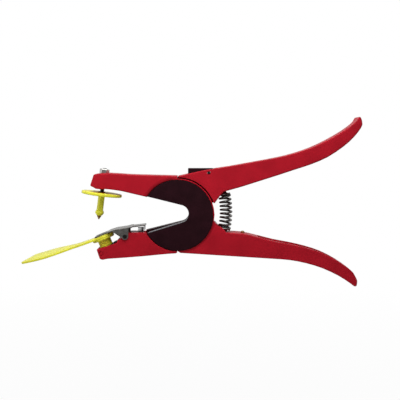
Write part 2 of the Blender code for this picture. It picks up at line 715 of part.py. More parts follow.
def pin_place():
    """Local Z runs down the pin towards its point; the origin is nearest the hub."""
    x, z = polar(PIN_CIRCLE_RADIUS, HALF_TURN - PIN_LEAN)
    turn = Matrix.Rotation(math.radians(PIN_LEAN), 4, "Y")
    return Matrix.Translation((x, 0.0, z)) @ turn @ Matrix.Rotation(math.radians(HALF_TURN), 4, "X")


PIN_LEAN_COSINE = math.cos(math.radians(PIN_LEAN))
PIN_FOOT_Z = polar(PIN_CIRCLE_RADIUS, HALF_TURN - PIN_LEAN)[1]
PIN_JAW_EXIT = (JAW_HEIGHT * UPPER_JAW_BOTTOM_SHARES[1][1] - PIN_FOOT_Z) / PIN_LEAN_COSINE
PIN_JAW_TOP = (JAW_HEIGHT - PIN_FOOT_Z) / PIN_LEAN_COSINE
NUT_SEAT = PIN_JAW_TOP - NUT_SEAT_DEPTH
DISC_TOP = -MALE_DISC_OFFSET - MALE_DISC_THICKNESS
PIN_END = STUD_TIP_REACH * HALF


def applicator_pin():
    """The steel pin that carries the male tag through the ear."""
    top = -NUT_SEAT - SEAT_GAP - NUT_HEIGHT - NUT_THREAD_END
    collar = -PIN_JAW_EXIT + PIN_COLLAR_BELOW_JAW
    point = PIN_END - SEAT_GAP
    profile = [
        (0.0, top), (PIN_RADIUS, top), (PIN_RADIUS, collar), (PIN_COLLAR_RADIUS, collar),
        (PIN_COLLAR_RADIUS, collar + PIN_COLLAR_HEIGHT), (PIN_RADIUS, collar + PIN_COLLAR_HEIGHT),
        (PIN_RADIUS, point - PIN_POINT_LENGTH), (PIN_RADIUS * HALF, point), (0.0, point),
    ]
    return turned("applicator_pin", profile[::-1], pin_place(), SMALL_SIDES)


def pin_nut():
    """The hexagon nut on top of the upper jaw."""
    bore = PIN_RADIUS + SEAT_GAP
    high = -NUT_SEAT - SEAT_GAP
    low = high - NUT_HEIGHT
    profile = [
        (NUT_CORNER, high), (NUT_CORNER, low + NUT_CHAMFER), (NUT_CORNER - NUT_CHAMFER, low),
        (bore, low), (bore, high),
    ]
    return turned("pin_nut", profile, pin_place(), HEX_SIDES)


def male_tag():
    """Button and stud of the male tag, hollow for the pin."""
    bore = PIN_RADIUS + SEAT_GAP
    low = -MALE_DISC_OFFSET
    edge = MALE_DISC_THICKNESS * HALF * HALF
    shoulder = STUD_TIP_REACH - TAG_TIP_LENGTH - SEAT_GAP
    head = STUD_TIP_REACH - STUD_HEAD_FROM_TIP
    stem = TAG_TIP_STEM_RADIUS + SEAT_GAP
    stem_floor = shoulder - TAG_TIP_STEM_LENGTH
    profile = [
        (0.0, stem_floor), (stem, stem_floor), (stem, shoulder), (TAG_TIP_RADIUS, shoulder),
        (STUD_HEAD_RADIUS - edge, head + STUD_HEAD_SLOPE), (STUD_HEAD_RADIUS, head),
        (STUD_HEAD_RADIUS - edge, head - STUD_HEAD_SLOPE),
        (STUD_RADIUS, head - STUD_HEAD_SLOPE - STUD_HEAD_SLOPE),
        (STUD_RADIUS, low + edge), (STUD_RADIUS + edge, low),
        (MALE_DISC_RADIUS - edge, low), (MALE_DISC_RADIUS, low - edge),
        (MALE_DISC_RADIUS, DISC_TOP + edge), (MALE_DISC_RADIUS - edge, DISC_TOP),
        (bore, DISC_TOP), (bore, PIN_END), (0.0, PIN_END),
    ]
    return turned("male_tag", profile, pin_place(), DISC_SIDES)


def male_tag_tip():
    """The metal point of the male tag, with a stem in the stud."""
    base = STUD_TIP_REACH - TAG_TIP_LENGTH
    stem_end = base - TAG_TIP_STEM_LENGTH
    profile = [
        (0.0, STUD_TIP_REACH), (TAG_TIP_RADIUS, base), (TAG_TIP_STEM_RADIUS, base),
        (TAG_TIP_STEM_RADIUS, stem_end), (0.0, stem_end),
    ]
    return turned("male_tag_tip", profile, pin_place(), SMALL_SIDES)


# Female tag and its seat, on the tag's own line

def female_place():
    """Local Z runs down the tag's bore, local X up the seat's slope."""
    x, z = polar(PIN_CIRCLE_RADIUS, HALF_TURN + FEMALE_LEAN)
    turn = Matrix.Rotation(math.radians(-FEMALE_LEAN), 4, "Y")
    return Matrix.Translation((x, 0.0, z)) @ turn @ Matrix.Rotation(math.radians(HALF_TURN), 4, "X")


def female_point(along, down):
    """A point of the side view from the tag's own slope and depth."""
    point = female_place() @ Vector((along, 0.0, down))
    return (point.x, point.z)


def flag_outline():
    """The flag in its own plane: along its length, then across."""
    half = FLAG_WIDTH * HALF
    neck = FLAG_NECK_WIDTH * HALF
    side = [
        (0.0, FEMALE_BUTTON_RADIUS), (FLAG_NECK_LENGTH * HALF, neck), (FLAG_NECK_LENGTH, neck),
        (FLAG_SHOULDER - FLAG_CORNER, half - FLAG_CORNER * HALF), (FLAG_SHOULDER, half),
        (FLAG_LENGTH - FLAG_CORNER, half), (FLAG_LENGTH, half - FLAG_CORNER),
    ]
    return side + [(u, -w) for u, w in side[::-1]]


def female_tag():
    """Flag, button and ringed neck with a bore right through."""
    work = bmesh.new()
    top = -FEMALE_TOP
    turn = math.radians(FLAG_TURN)
    corners = []
    for along, side in flag_outline():
        u = -along * math.cos(turn) + side * math.sin(turn)
        w = along * math.sin(turn) + side * math.cos(turn)
        corners.append(work.verts.new((u, -w, top)))
    face = work.faces.new(corners)
    for step in range(1, FLAG_BEND_STEPS):
        x = -FLAG_LENGTH * step / FLAG_BEND_STEPS
        everything = list(work.verts) + list(work.edges) + list(work.faces)
        bmesh.ops.bisect_plane(work, geom=everything, plane_co=(x, 0.0, 0.0), plane_no=(1.0, 0.0, 0.0),
                               dist=MERGE_DISTANCE)
    lifted = bmesh.ops.extrude_face_region(work, geom=list(work.faces))
    for item in lifted["geom"]:
        if isinstance(item, bmesh.types.BMVert):
            item.co.z += FLAG_THICKNESS
    for vert in work.verts:
        share = max(0.0, -vert.co.x - FEMALE_BUTTON_RADIUS) / FLAG_LENGTH
        vert.co.z -= FLAG_BEND_RISE * share ** 2
    bmesh.ops.recalc_face_normals(work, faces=work.faces)
    mesh = bpy.data.meshes.new("female_tag")
    work.to_mesh(mesh)
    work.free()
    flag = add_object("female_tag", mesh, PARTS)
    flag.matrix_world = female_place()
    flag = apply_all(flag)
    under = top + FLAG_THICKNESS * HALF
    button = top + FLAG_THICKNESS + BUTTON_THICKNESS
    rings = [(FEMALE_BUTTON_RADIUS, under), (FEMALE_BUTTON_RADIUS, button)]
    groove = FEMALE_NECK_RADIUS - NECK_GROOVE
    pitch = (NECK_BOTTOM - button) / NECK_RINGS
    for ring in range(NECK_RINGS):
        start = button + pitch * ring
        rings += [(groove, start), (groove, start + pitch * HALF * HALF)]
        rings += [(FEMALE_NECK_RADIUS, start + pitch * HALF), (FEMALE_NECK_RADIUS, start + pitch)]
    profile = [(0.0, under), *rings, (0.0, NECK_BOTTOM)]
    neck = turned("tag_neck", profile[::-1], female_place(), ROUND_SIDES)
    flag = cut(flag, neck, "UNION")
    bore = rod("tag_bore", FEMALE_BORE_RADIUS, -JAW_REACH * HALF, NECK_BOTTOM + CUT_OVERRUN,
               female_place(), ROUND_SIDES, CUTTERS)
    return cut(flag, bore)


INSERT_TOP = NECK_BOTTOM + SEAT_GAP
INSERT_FLOOR = INSERT_TOP + INSERT_THICKNESS


def seat_insert():
    """The hard insert that the tag's neck rests on, with a stop at its rear."""
    stop = INSERT_TOP - INSERT_STOP_HEIGHT
    stop_start = INSERT_REAR - INSERT_STOP_LENGTH
    points = [
        female_point(-INSERT_FRONT, INSERT_FLOOR), female_point(INSERT_REAR, INSERT_FLOOR),
        female_point(INSERT_REAR, stop), female_point(stop_start, stop),
        female_point(stop_start, INSERT_TOP), female_point(-INSERT_FRONT, INSERT_TOP),
    ]
    made = slab("seat_insert", points, -INSERT_HALF_WIDTH, INSERT_HALF_WIDTH)
    bore = rod("insert_bore", FEMALE_BORE_RADIUS, 0.0, INSERT_FLOOR + CUT_OVERRUN,
               female_place(), ROUND_SIDES, CUTTERS)
    return cut(made, bore)


def cut_tag_seat(made):
    """The hollow in the lower jaw for the insert, the tag's neck and the pin's point."""
    front = -INSERT_FRONT - SEAT_GAP
    rear = INSERT_REAR + SEAT_GAP
    floor = INSERT_FLOOR + SEAT_GAP
    points = [female_point(front, floor), female_point(rear, floor),
              female_point(rear, -FEMALE_TOP), female_point(front, -FEMALE_TOP)]
    half = INSERT_HALF_WIDTH + SEAT_GAP
    made = carve(made, slab("seat_hollow", points, -half, half, CUTTERS))
    made = carve(made, rod("tip_pocket", TIP_POCKET_RADIUS, 0.0, floor + TIP_POCKET_DEPTH,
                         female_place(), group=CUTTERS))
    for side in (-1, 1):
        low, high = sorted((side * (half + SEAT_GAP), side * (HALF_BODY + CUT_OVERRUN)))
        made = carve(made, rod("seat_pin_hole", SEAT_PIN_RADIUS + SEAT_GAP, low, high,
                             across(SEAT_PIN_X, SEAT_PIN_Z), group=CUTTERS))
    pocket = Matrix.Translation((CLIP_SPRING_X, 0.0, spring_seat_z()))
    made = carve(made, rod("clip_spring_pocket", CLIP_SPRING_RADIUS + CLIP_SPRING_WIRE, 0.0, JAW_REACH,
                         pocket, group=CUTTERS))
    tab_x = CLIP_PIVOT_X + CLIP_REACH_REAR
    tab_floor = jaw_deck_z() - CLIP_TAB_LENGTH * HALF
    points = [(tab_x - CLIP_TAB_CLEARANCE, tab_floor), (tab_x - CLIP_TAB_CLEARANCE, 0.0),
              (tab_x + CLIP_TAB_CLEARANCE, 0.0), (tab_x + CLIP_TAB_CLEARANCE, tab_floor)]
    half = CLIP_TAB_HALF_WIDTH + SEAT_GAP
    return carve(made, slab("tab_slot", points, -half, half, CUTTERS))


def seat_pin(name, side):
    """A short dowel that shows as a round mark on one side of the lower jaw."""
    inner = INSERT_HALF_WIDTH + SEAT_PIN_SETBACK
    low, high = sorted((side * inner, side * (HALF_BODY - SEAT_GAP)))
    return rod(name, SEAT_PIN_RADIUS, low, high, across(SEAT_PIN_X, SEAT_PIN_Z))


# Clip

def jaw_deck_z():
    """The flat top of the lower jaw beside the hub."""
    return -LOWER_JAW_DROP * LOWER_JAW_STEP_SHARES[-1][1]


def spring_seat_z():
    """The floor of the clip spring's pocket."""
    return jaw_deck_z() - CLIP_SPRING_POCKET_DEPTH


def clip_line():
    """The upper surface of the bent sheet, front to rear."""
    points = []
    for along, up in CLIP_LINE_SHARES:
        reach = CLIP_REACH_FRONT if along < 0.0 else CLIP_REACH_REAR
        points.append((CLIP_PIVOT_X + along * reach, CLIP_PIVOT_Z + up * CLIP_RISE))
    return points


def offset_line(points, distance):
    """The same line moved down square to itself."""
    moved = []
    for index, point in enumerate(points):
        before = Vector(points[max(index - 1, 0)])
        after = Vector(points[min(index + 1, len(points) - 1)])
        along = (after - before).normalized()
        moved.append((point[0] + along.y * distance, point[1] - along.x * distance))
    return moved


def tag_clip():
    """Sheet clip: an eyed nose over the tag, two ears and a thumb plate."""
    line = clip_line()
    under = offset_line(line, CLIP_SHEET)
    ear_inner = HALF_BODY + CLIP_EAR_GAP
    ear_outer = ear_inner + CLIP_SHEET
    made = slab("tag_clip", line + under[::-1], -ear_outer, ear_outer)
    ear_front = CLIP_PIVOT_X - CLIP_REACH_FRONT * HALF
    ear_rear = CLIP_PIVOT_X + CLIP_REACH_REAR * HALF * HALF
    front = CLIP_PIVOT_X - CLIP_REACH_FRONT - CUT_OVERRUN
    rear = CLIP_PIVOT_X + CLIP_REACH_REAR + CUT_OVERRUN
    for side in (-1, 1):
        for start, end, half, slant in (
            (front, ear_front, CLIP_FRONT_HALF_WIDTH, 1),
            (rear, ear_rear, CLIP_REAR_HALF_WIDTH, -1),
        ):
            low, high = sorted((side * half, side * (ear_outer + CUT_OVERRUN)))
            points = [(start, -JAW_REACH), (end - slant * CUT_OVERRUN * HALF, -JAW_REACH),
                      (end - slant * CUT_OVERRUN * HALF, 0.0), (start, 0.0)]
            made = cut(made, slab("clip_trim", points, low, high, CUTTERS))
    pivot = (CLIP_PIVOT_X, CLIP_PIVOT_Z)
    root = CLIP_SHEET * HALF
    ear = [(line[2][0] + root, line[2][1] - CLIP_SHEET)]
    ear += arc_about(pivot, CLIP_EAR_RADIUS, CLIP_EAR_START, FULL_TURN)
    ear += [(line[5][0] - root, line[5][1] - CLIP_SHEET), (line[4][0], line[4][1] - root)]
    ear += [(line[3][0], line[3][1] - root)]
    for side in (-1, 1):
        low, high = sorted((side * ear_inner, side * ear_outer))
        made = cut(made, slab("ear", ear, low, high), "UNION")
    tab_x = line[-1][0]
    tab = [(tab_x - CLIP_SHEET * HALF, line[-1][1] - root), (tab_x - CLIP_SHEET, line[-1][1] - root),
           (tab_x - CLIP_SHEET, line[-1][1] - CLIP_TAB_LENGTH),
           (tab_x - CLIP_SHEET * HALF, line[-1][1] - CLIP_TAB_LENGTH)]
    made = cut(made, slab("tab", tab, -CLIP_TAB_HALF_WIDTH, CLIP_TAB_HALF_WIDTH), "UNION")
    eye = rod("clip_eye", CLIP_EYE_RADIUS, -JAW_REACH, 0.0, female_place(), ROUND_SIDES, CUTTERS)
    made = cut(made, eye)
    hole = rod("clip_pin_hole", CLIP_PIN_RADIUS + SEAT_GAP, -BODY_WIDTH, BODY_WIDTH,
               across(*pivot), group=CUTTERS)
    return on_axis(cut(made, hole), *pivot)


def clip_pivot_pin():
    """The pin that the clip turns on, headed outside both ears."""
    face = HALF_BODY + CLIP_EAR_GAP + CLIP_SHEET + SEAT_GAP
    outer = face + CLIP_PIN_HEAD_HEIGHT
    profile = [
        (0.0, outer), (CLIP_PIN_HEAD_RADIUS, outer), (CLIP_PIN_HEAD_RADIUS, face),
        (CLIP_PIN_RADIUS, face), (CLIP_PIN_RADIUS, -face), (CLIP_PIN_HEAD_RADIUS, -face),
        (CLIP_PIN_HEAD_RADIUS, -outer), (0.0, -outer),
    ]
    return turned("clip_pivot_pin", profile, across(CLIP_PIVOT_X, CLIP_PIVOT_Z), SMALL_SIDES)


# Springs

def coil(name, x, bottom, top, radius, wire, turns, bow, points_per_turn):
    """One unbroken wire wound about a line that may bow along +X."""
    count = round(turns * points_per_turn)
    half_wire = wire * HALF
    height = top - bottom - wire
    places = []
    for step in range(count + 1):
        share = step / count
        angle = 2.0 * math.pi * turns * share
        centre = x + bow * math.sin(math.pi * share)
        rise = bottom + half_wire + height * share
        places.append(Vector((centre + radius * math.cos(angle), radius * math.sin(angle), rise)))
    start = places[0] - Vector((0.0, wire, 0.0))
    last = (places[-1] - places[-2]).normalized()
    last.z = 0.0
    places = [start] + places + [places[-1] + last * wire]
    curve = bpy.data.curves.new(name, "CURVE")
    curve.dimensions = "3D"
    curve.bevel_depth = half_wire
    curve.bevel_resolution = 1
    curve.use_fill_caps = True
    line = curve.splines.new("POLY")
    line.points.add(len(places) - 1)
    for point, place in zip(line.points, places):
        point.co = (*place, 1.0)
    nearest = least_gap(places, wire, points_per_turn) * MILLIMETRES
    print(name, "least gap to itself in mm", round(nearest, 2))
    return apply_all(add_object(name, curve, PARTS))


def least_gap(places, wire, points_per_turn):
    """The smallest clear space between turns, on the wire's own points."""
    nearest = math.inf
    for index, place in enumerate(places):
        for other in places[index + points_per_turn // 2:]:
            nearest = min(nearest, (other - place).length)
    return nearest - wire


def return_spring():
    """The compression spring that opens the jaws."""
    return coil("return_spring", SPRING_X, SPRING_BOTTOM_Z + SPRING_END_GAP, SPRING_TOP_Z - SPRING_END_GAP,
                SPRING_RADIUS, SPRING_WIRE, SPRING_TURNS, SPRING_BOW, POINTS_PER_TURN)


def clip_spring():
    """The small spring that holds the clip down on the tag."""
    line = clip_line()
    before, after = line[-2], line[-1]
    share = (CLIP_SPRING_X + CLIP_SPRING_RADIUS - before[0]) / (after[0] - before[0])
    under = before[1] + (after[1] - before[1]) * share - CLIP_SPRING_BELOW
    top = under - (after[1] - before[1]) * CLIP_SPRING_RADIUS * 2 / (after[0] - before[0])
    return coil("clip_spring", CLIP_SPRING_X, spring_seat_z() + SEAT_GAP, top - SEAT_GAP,
                CLIP_SPRING_RADIUS, CLIP_SPRING_WIRE, CLIP_SPRING_TURNS, 0.0, POINTS_PER_TURN)


def spring_stud(name, z, direction):
    """A peg inside the end of the return spring, its shank in the casting."""
    profile = [
        (0.0, STUD_PEG_HEIGHT), (STUD_PEG_RADIUS - STUD_PEG_ROUND, STUD_PEG_HEIGHT),
        (STUD_PEG_RADIUS, STUD_PEG_HEIGHT - STUD_PEG_ROUND), (STUD_PEG_RADIUS, SPRING_END_GAP),
        (STUD_SHANK_RADIUS, SPRING_END_GAP), (STUD_SHANK_RADIUS, -STUD_SHANK_DEPTH),
        (0.0, -STUD_SHANK_DEPTH),
    ]
    place = Matrix.Translation((SPRING_X, 0.0, z))
    if direction < 0:
        place = place @ Matrix.Rotation(math.radians(HALF_TURN), 4, "X")
    return turned(name, profile, place, SMALL_SIDES)


# Latch

def catch_lever():
    """The catch: a thumb block with a tooth that drops into the hub's rim."""
    body = [(LATCH_PIVOT_X + x * LATCH_REACH, LATCH_PIVOT_Z + z * LATCH_HEIGHT)
            for x, z in LATCH_SHARES]
    tooth_end = body[0][0]
    tooth_start = tooth_end + LATCH_TOOTH_LENGTH
    clear = HANDLE_ARC_RADIUS + SEAT_GAP
    tooth = [(tooth_start, math.sqrt(clear ** 2 - tooth_start ** 2)),
             (tooth_end, math.sqrt(clear ** 2 - tooth_end ** 2))]
    points = body + tooth
    made = slab("catch_lever", points, -LATCH_HALF_WIDTH, LATCH_HALF_WIDTH)
    hole = rod("latch_bore", LATCH_PIN_RADIUS + SEAT_GAP, -HALF_BODY, HALF_BODY,
               across(LATCH_PIVOT_X, LATCH_PIVOT_Z), group=CUTTERS)
    return on_axis(cut(made, hole), LATCH_PIVOT_X, LATCH_PIVOT_Z)


def latch_pivot_pin():
    """The cross pin of the catch, flush with the handle's sides."""
    end = HALF_BODY - SEAT_GAP
    return rod("latch_pivot_pin", LATCH_PIN_RADIUS, -end, end, across(LATCH_PIVOT_X, LATCH_PIVOT_Z))


# Spare pin

def spare_pin_top():
    """The inner edge of the lower handle where the spare pin stands."""
    edge = scaled(LOWER_HANDLE_TOP_SHARES, LOWER_HANDLE_REACH, -LOWER_HANDLE_DROP)
    for (x_high, z_high), (x_low, z_low) in zip(edge, edge[1:]):
        if x_low <= SPARE_PIN_X <= x_high:
            share = (SPARE_PIN_X - x_low) / (x_high - x_low)
            return z_low + (z_high - z_low) * share
    return edge[-1][1]


def spare_pin():
    """A second applicator pin, kept point up in the lower handle."""
    proud = SPARE_PIN_PROUD
    profile = [
        (0.0, proud), (PIN_RADIUS * HALF, proud), (PIN_RADIUS, proud - PIN_POINT_LENGTH),
        (PIN_RADIUS, -SPARE_PIN_LENGTH), (0.0, -SPARE_PIN_LENGTH),
    ]
    place = Matrix.Translation((SPARE_PIN_X, 0.0, spare_pin_top()))
    return turned("spare_pin", profile, place, SMALL_SIDES)


def clear_scene():
    """Empties the scene and its two collections."""
    for old in list(bpy.data.objects):
        bpy.data.objects.remove(old)


def build():
    """Models every piece and gives it its finish."""
    clear_scene()
    red = finish_material("red_coating", (0.36, 0.012, 0.022), 0.0, 0.38)
    black = finish_material("black_cover", (0.018, 0.006, 0.008), 0.0, 0.42)
    steel = finish_material("bright_steel", (0.62, 0.61, 0.58), 1.0, 0.30)
    dark_steel = finish_material("dark_steel", (0.05, 0.048, 0.046), 0.9, 0.40)
    sheet = finish_material("clip_sheet", (0.28, 0.27, 0.25), 1.0, 0.42)
    brass = finish_material("brass", (0.45, 0.30, 0.12), 1.0, 0.40)
    yellow = finish_material("yellow_tag", (0.84, 0.72, 0.03), 0.0, 0.45)
    nylon = finish_material("white_nylon", (0.75, 0.75, 0.72), 0.0, 0.50)
    dress(upper_jaw_casting(), red)
    dress(lower_jaw_casting(), red)
    dress(hub_cover("near_hub_cover", -1, THROAT_NARROW_SLOPE, THROAT_WIDE_SLOPE), black)
    dress(hub_cover("far_hub_cover", 1, THROAT_WIDE_SLOPE, THROAT_NARROW_SLOPE), black)
    dress(hub_liner(), nylon)
    for number, angle in enumerate(RIVET_ANGLES, 1):
        dress(guide_rivet(number, angle), steel)
        dress(guide_sleeve(number, angle), brass)
    dress(applicator_pin(), dark_steel)
    dress(pin_nut(), steel)
    dress(male_tag(), yellow)
    dress(male_tag_tip(), brass)
    dress(female_tag(), yellow)
    dress(seat_insert(), black)
    dress(seat_pin("near_seat_pin", -1), red)
    dress(seat_pin("far_seat_pin", 1), red)
    dress(tag_clip(), sheet)
    dress(clip_pivot_pin(), dark_steel)
    dress(clip_spring(), steel)
    dress(return_spring(), steel)
    dress(spring_stud("lower_spring_stud", SPRING_BOTTOM_Z, 1), dark_steel)
    dress(spring_stud("upper_spring_stud", SPRING_TOP_Z, -1), dark_steel)
    dress(catch_lever(), black)
    dress(latch_pivot_pin(), dark_steel)
    dress(spare_pin(), brass)


build()
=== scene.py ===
"""Ear tag applicator with a loaded two-part tag, shown open on a pale studio stage."""

import math

import bmesh
import bpy
from bpy.props import FloatProperty, FloatVectorProperty, PointerProperty
from mathutils import Matrix, Vector
from mathutils.geometry import delaunay_2d_cdt


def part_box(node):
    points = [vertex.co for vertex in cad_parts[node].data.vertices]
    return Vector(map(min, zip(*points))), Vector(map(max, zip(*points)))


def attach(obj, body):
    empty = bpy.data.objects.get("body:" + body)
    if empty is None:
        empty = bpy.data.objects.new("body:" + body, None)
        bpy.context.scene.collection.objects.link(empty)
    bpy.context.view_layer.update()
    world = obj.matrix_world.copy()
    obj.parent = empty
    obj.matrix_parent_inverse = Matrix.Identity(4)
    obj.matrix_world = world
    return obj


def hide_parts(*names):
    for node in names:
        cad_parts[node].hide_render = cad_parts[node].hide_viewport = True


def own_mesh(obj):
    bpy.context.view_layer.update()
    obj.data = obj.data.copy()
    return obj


bl_info = {
    "name": "Ear tag applicator",
    "version": (1, 0, 0),
    "blender": (4, 5, 0),
    "location": "View3D > Sidebar > Applicator",
    "description": "Dresses the ear tag applicator: castings, covers, tags, clip, springs and stage",
    "category": "Object",
}

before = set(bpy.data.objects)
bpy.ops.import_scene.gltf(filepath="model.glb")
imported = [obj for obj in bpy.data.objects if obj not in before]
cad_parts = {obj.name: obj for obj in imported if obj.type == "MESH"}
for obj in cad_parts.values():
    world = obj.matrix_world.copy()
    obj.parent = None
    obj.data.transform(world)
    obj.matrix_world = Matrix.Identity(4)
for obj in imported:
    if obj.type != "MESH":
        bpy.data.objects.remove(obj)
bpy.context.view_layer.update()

WHITE = (1.0, 1.0, 1.0, 1.0)

# Rounded edges: lengths in metres, and shares of the room that a corner has
WELD = 0.00001
TINY = 1e-9
FLAT_ANGLE = math.radians(0.6)
CORNER_ANGLE = math.radians(28.0)
SMOOTH_ANGLE = math.radians(40.0)
FLAG_EDGE_ANGLE = math.radians(60.0)
CORNER_SHARE = 0.45
CLEAR_SHARE = 0.42
WIDTH_CHANGE = 0.0022
WIDTH_ROUNDS = 60
CASTING_SEGMENTS = 4
SMALL_SEGMENTS = 3
EASED_STEPS = 4
MANY_CORNERS = 9
FACING_SIDE = 0.9
ALONG_Y = 0.99

# Sides of what is turned or wound
PIN_SIDES = 48
BUTTON_SIDES = 96
COLLAR_SIDES = 72
FLOOR_SIDES = 96
WIRE_SIDES = 14
HOOP_SIDES = 48
CREST_SIDES = 10

# The hub, seen from the side, with the turning centre at the origin
HALF_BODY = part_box("upper_jaw_casting")[1].y
FACE_DEPTH = 0.0001
SEAT_RADIUS = 0.0327
SEAT_BAND = 0.0004
SEAT_FILLET_START = math.radians(96.0)
SEAT_FILLET_END = math.radians(168.0)
HUB_REACH = 0.0352
COVER_SPREAD = 1.006
# The upper handle's thin front tip over the hub's rim: its lowest height, and how far it is drawn
HUB_TOP = 0.0342
NOTCH_REACH = 0.0040
NOTCH_DRAW = 0.0008
# Corners of the lower casting that are drawn a little: where, how far round it, and by how much
CORNER_DRAWS = (
    ((0.1675, 0.0896), 0.0065, (-0.0014, 0.0)),
    ((-0.0745, -0.0333), 0.0040, (0.0, 0.0010)),
)

# Painted shade round the near cover's seat, darkening the enamel where the cover would shade it: middle
# angle, the cosines between which it fades in, depth and width
SEAT_SHADE_REACH = 0.0036
SEAT_SHADE_PATCHES = (
    (math.radians(132.0), 0.76, 0.86, 0.62, SEAT_SHADE_REACH),
    (math.radians(-52.0), 0.58, 0.80, 0.66, 0.0024),
)

# Where the near cover's flange is painted grey, a painted sheen of light from above on its upward faces: how
# far it faces up, where its edge lies, and its near side
FLANGE_FACING = (0.2, 0.6)
FLANGE_EDGE = (SEAT_RADIUS - 0.0020, SEAT_RADIUS - 0.0010)
FLANGE_NEAR = (-0.0020, 0.0)

# The pin's line and the female tag's line both touch this circle. A line's lean is from straight down.
LINE_CIRCLE_RADIUS = 0.0722
PIN_LEAN = math.radians(7.3)
TAG_LEAN = math.radians(-22.0)

# Applicator pin, with heights along its line
SHAFT_RADIUS = 0.00185
COLLAR_RADIUS = 0.0029
COLLAR_HEIGHT = -0.0122
COLLAR_DEPTH = 0.0012
POINT_DEPTH = 0.0012
POINT_SHARE = 0.4
THREAD_CRESTS = 3
THREAD_START = 0.0004
THREAD_PITCH = 0.0007
THREAD_SINK = 0.00005
THREAD_CREST = 0.00016

# Male tag: pairs of radius and height, the head's from its shoulder and the button's from its top
STUD_DRAW = 0.0008
HEAD_PROFILE = (
    (0.0, 0.0), (0.0023, 0.0), (0.0039, -0.0020), (0.00405, -0.0030), (0.0037, -0.0040), (0.0030, -0.0051),
)
BUTTON_PROFILE = (
    (0.0030, 0.0042), (0.0036, 0.0030), (0.0049, 0.0023), (0.0126, 0.0022), (0.0181, 0.0027),
    (0.0186, 0.0022), (0.0186, 0.0005), (0.0182, 0.0001), (0.0174, 0.0), (0.0156, 0.0002),
    (0.0068, 0.0002), (0.0058, 0.0),
)
STUD_BORE_RADIUS = 0.00215
STUD_BORE_FLOOR = 0.0050
TIP_RADIUS = 0.0021
TIP_GAP = 0.0003
TIP_RIM = 0.0002
TIP_END_RADIUS = 0.0003
TIP_END_DEPTH = 0.0002
TIP_SHANK_RADIUS = 0.0009

# Female tag: heights along its bore, then pairs of distance from the bore and half width
FLAG_TOP = -0.0083
FLAG_THICKNESS = 0.0018
TAG_BORE_RADIUS = 0.0049
TAG_BORE_CUT = (0.01, -0.03)
BUTTON_RADIUS = 0.0104
BUTTON_SINK = 0.0004
BUTTON_STAND = 0.0022
BUTTON_CORNER = 0.0006
BUTTON_TOP_CORNER = 0.0005
BUTTON_END_CORNER = 0.0007
NECK_RADIUS = 0.0062
NECK_SINK = 0.0002
NECK_END = 0.0023
RIB_COUNT = 3
RIB_SINK = 0.0004
RIB_CREST = 0.0005
FLAG_NECK = 0.0110
FLAG_HALF = 0.0260
FLAG_LENGTH = 0.0748
FLAG_SIDE = (
    (-0.0102, 0.0035), (-0.0075, 0.0078), (-0.0010, 0.0106), (0.0165, FLAG_NECK), (0.0277, FLAG_NECK),
    (0.0464, FLAG_HALF - 0.0035), (0.0538, FLAG_HALF), (FLAG_LENGTH - 0.0090, FLAG_HALF - 0.0013),
    (FLAG_LENGTH, FLAG_HALF - 0.0030),
)
FLAG_CORNER = 0.0038
FLAG_CORNER_STEPS = 5
FLAG_TURN = math.radians(6.7)
FLAG_STRIPS = 30
FLAG_TWIST = 0.0231
FLAG_BEND = 0.0071

# Springs
SPRING_RADIUS = 0.0050
SPRING_CLOSE_TURNS = 0.8
SPRING_POINTS = 520
CLIP_SPRING_RADIUS = 0.0024
CLIP_SPRING_WIRE = 0.0009
CLIP_SPRING_CLOSE_TURNS = 0.5
CLIP_SPRING_POINTS = 240

# Stage
FLOOR_RADIUS = 3.0
FLOOR_DEPTH = 0.01
KEY_SPOT = (-0.15, -0.35, 0.75)
KEY_SIZE = 0.6
FRONT_SPOT = (0.01, -0.17, 0.20)
SIDE_SPOT = (-0.52, -0.12, -0.01)
SIDE_TARGET = (-0.09, 0.0, 0.0)
LOW_LAMP_SIZE = 0.2
EVEN_LIGHT = 0.24
FLOOR_DARK = (0.58, 0.58, 0.58)
FLOOR_LIGHT = (0.62, 0.62, 0.62)
# How white the camera sees the floor under the object, and the distances between which it turns fully white
FLOOR_GLOW = 0.96
FLOOR_FADE = (0.25, 0.9)
# Between these sums of a direction's Y and Z, what a gloss sees goes from the even light to white
GLOSS_BAND = (-0.6, 0.3)


# Outlines and turned shapes

def eased(points, radius, steps=EASED_STEPS, closed=True):
    """The same outline with each corner rounded by up to radius."""
    count = len(points)
    result = []
    for index, point in enumerate(points):
        here = Vector(point)
        if not closed and index in (0, count - 1):
            result.append(tuple(here))
            continue
        before = Vector(points[index - 1]) - here
        after = Vector(points[(index + 1) % count]) - here
        reach = min(radius, before.length * CORNER_SHARE, after.length * CORNER_SHARE)
        if reach < WELD:
            result.append(tuple(here))
            continue
        start = here + before.normalized() * reach
        end = here + after.normalized() * reach
        for step in range(steps + 1):
            share = step / steps
            low = start.lerp(here, share)
            high = here.lerp(end, share)
            result.append(tuple(low.lerp(high, share)))
    return result


def raised(profile, rise):
    """A profile of radius and height, moved along its axis."""
    return [(radius, height + rise) for radius, height in profile]


def jaw_line(lean):
    """A place on the jaws' circle whose local Z runs down the leaning line that touches the circle there."""
    angle = math.pi - lean
    spot = Vector((math.cos(angle), 0.0, math.sin(angle))) * LINE_CIRCLE_RADIUS
    turn = Matrix.Rotation(lean, 4, "Y") @ Matrix.Rotation(math.pi, 4, "X")
    return Matrix.Translation(spot) @ turn


def along_line(node, place):
    """Lowest and highest reach of a CAD node along a place's local Z."""
    inverse = place.inverted()
    heights = [(inverse @ vert.co).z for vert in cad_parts[node].data.vertices]
    return min(heights), max(heights)


def linked(name, mesh):
    """Puts a finished mesh into the scene as an object."""
    made = bpy.data.objects.new(name, mesh)
    bpy.context.scene.collection.objects.link(made)
    return made


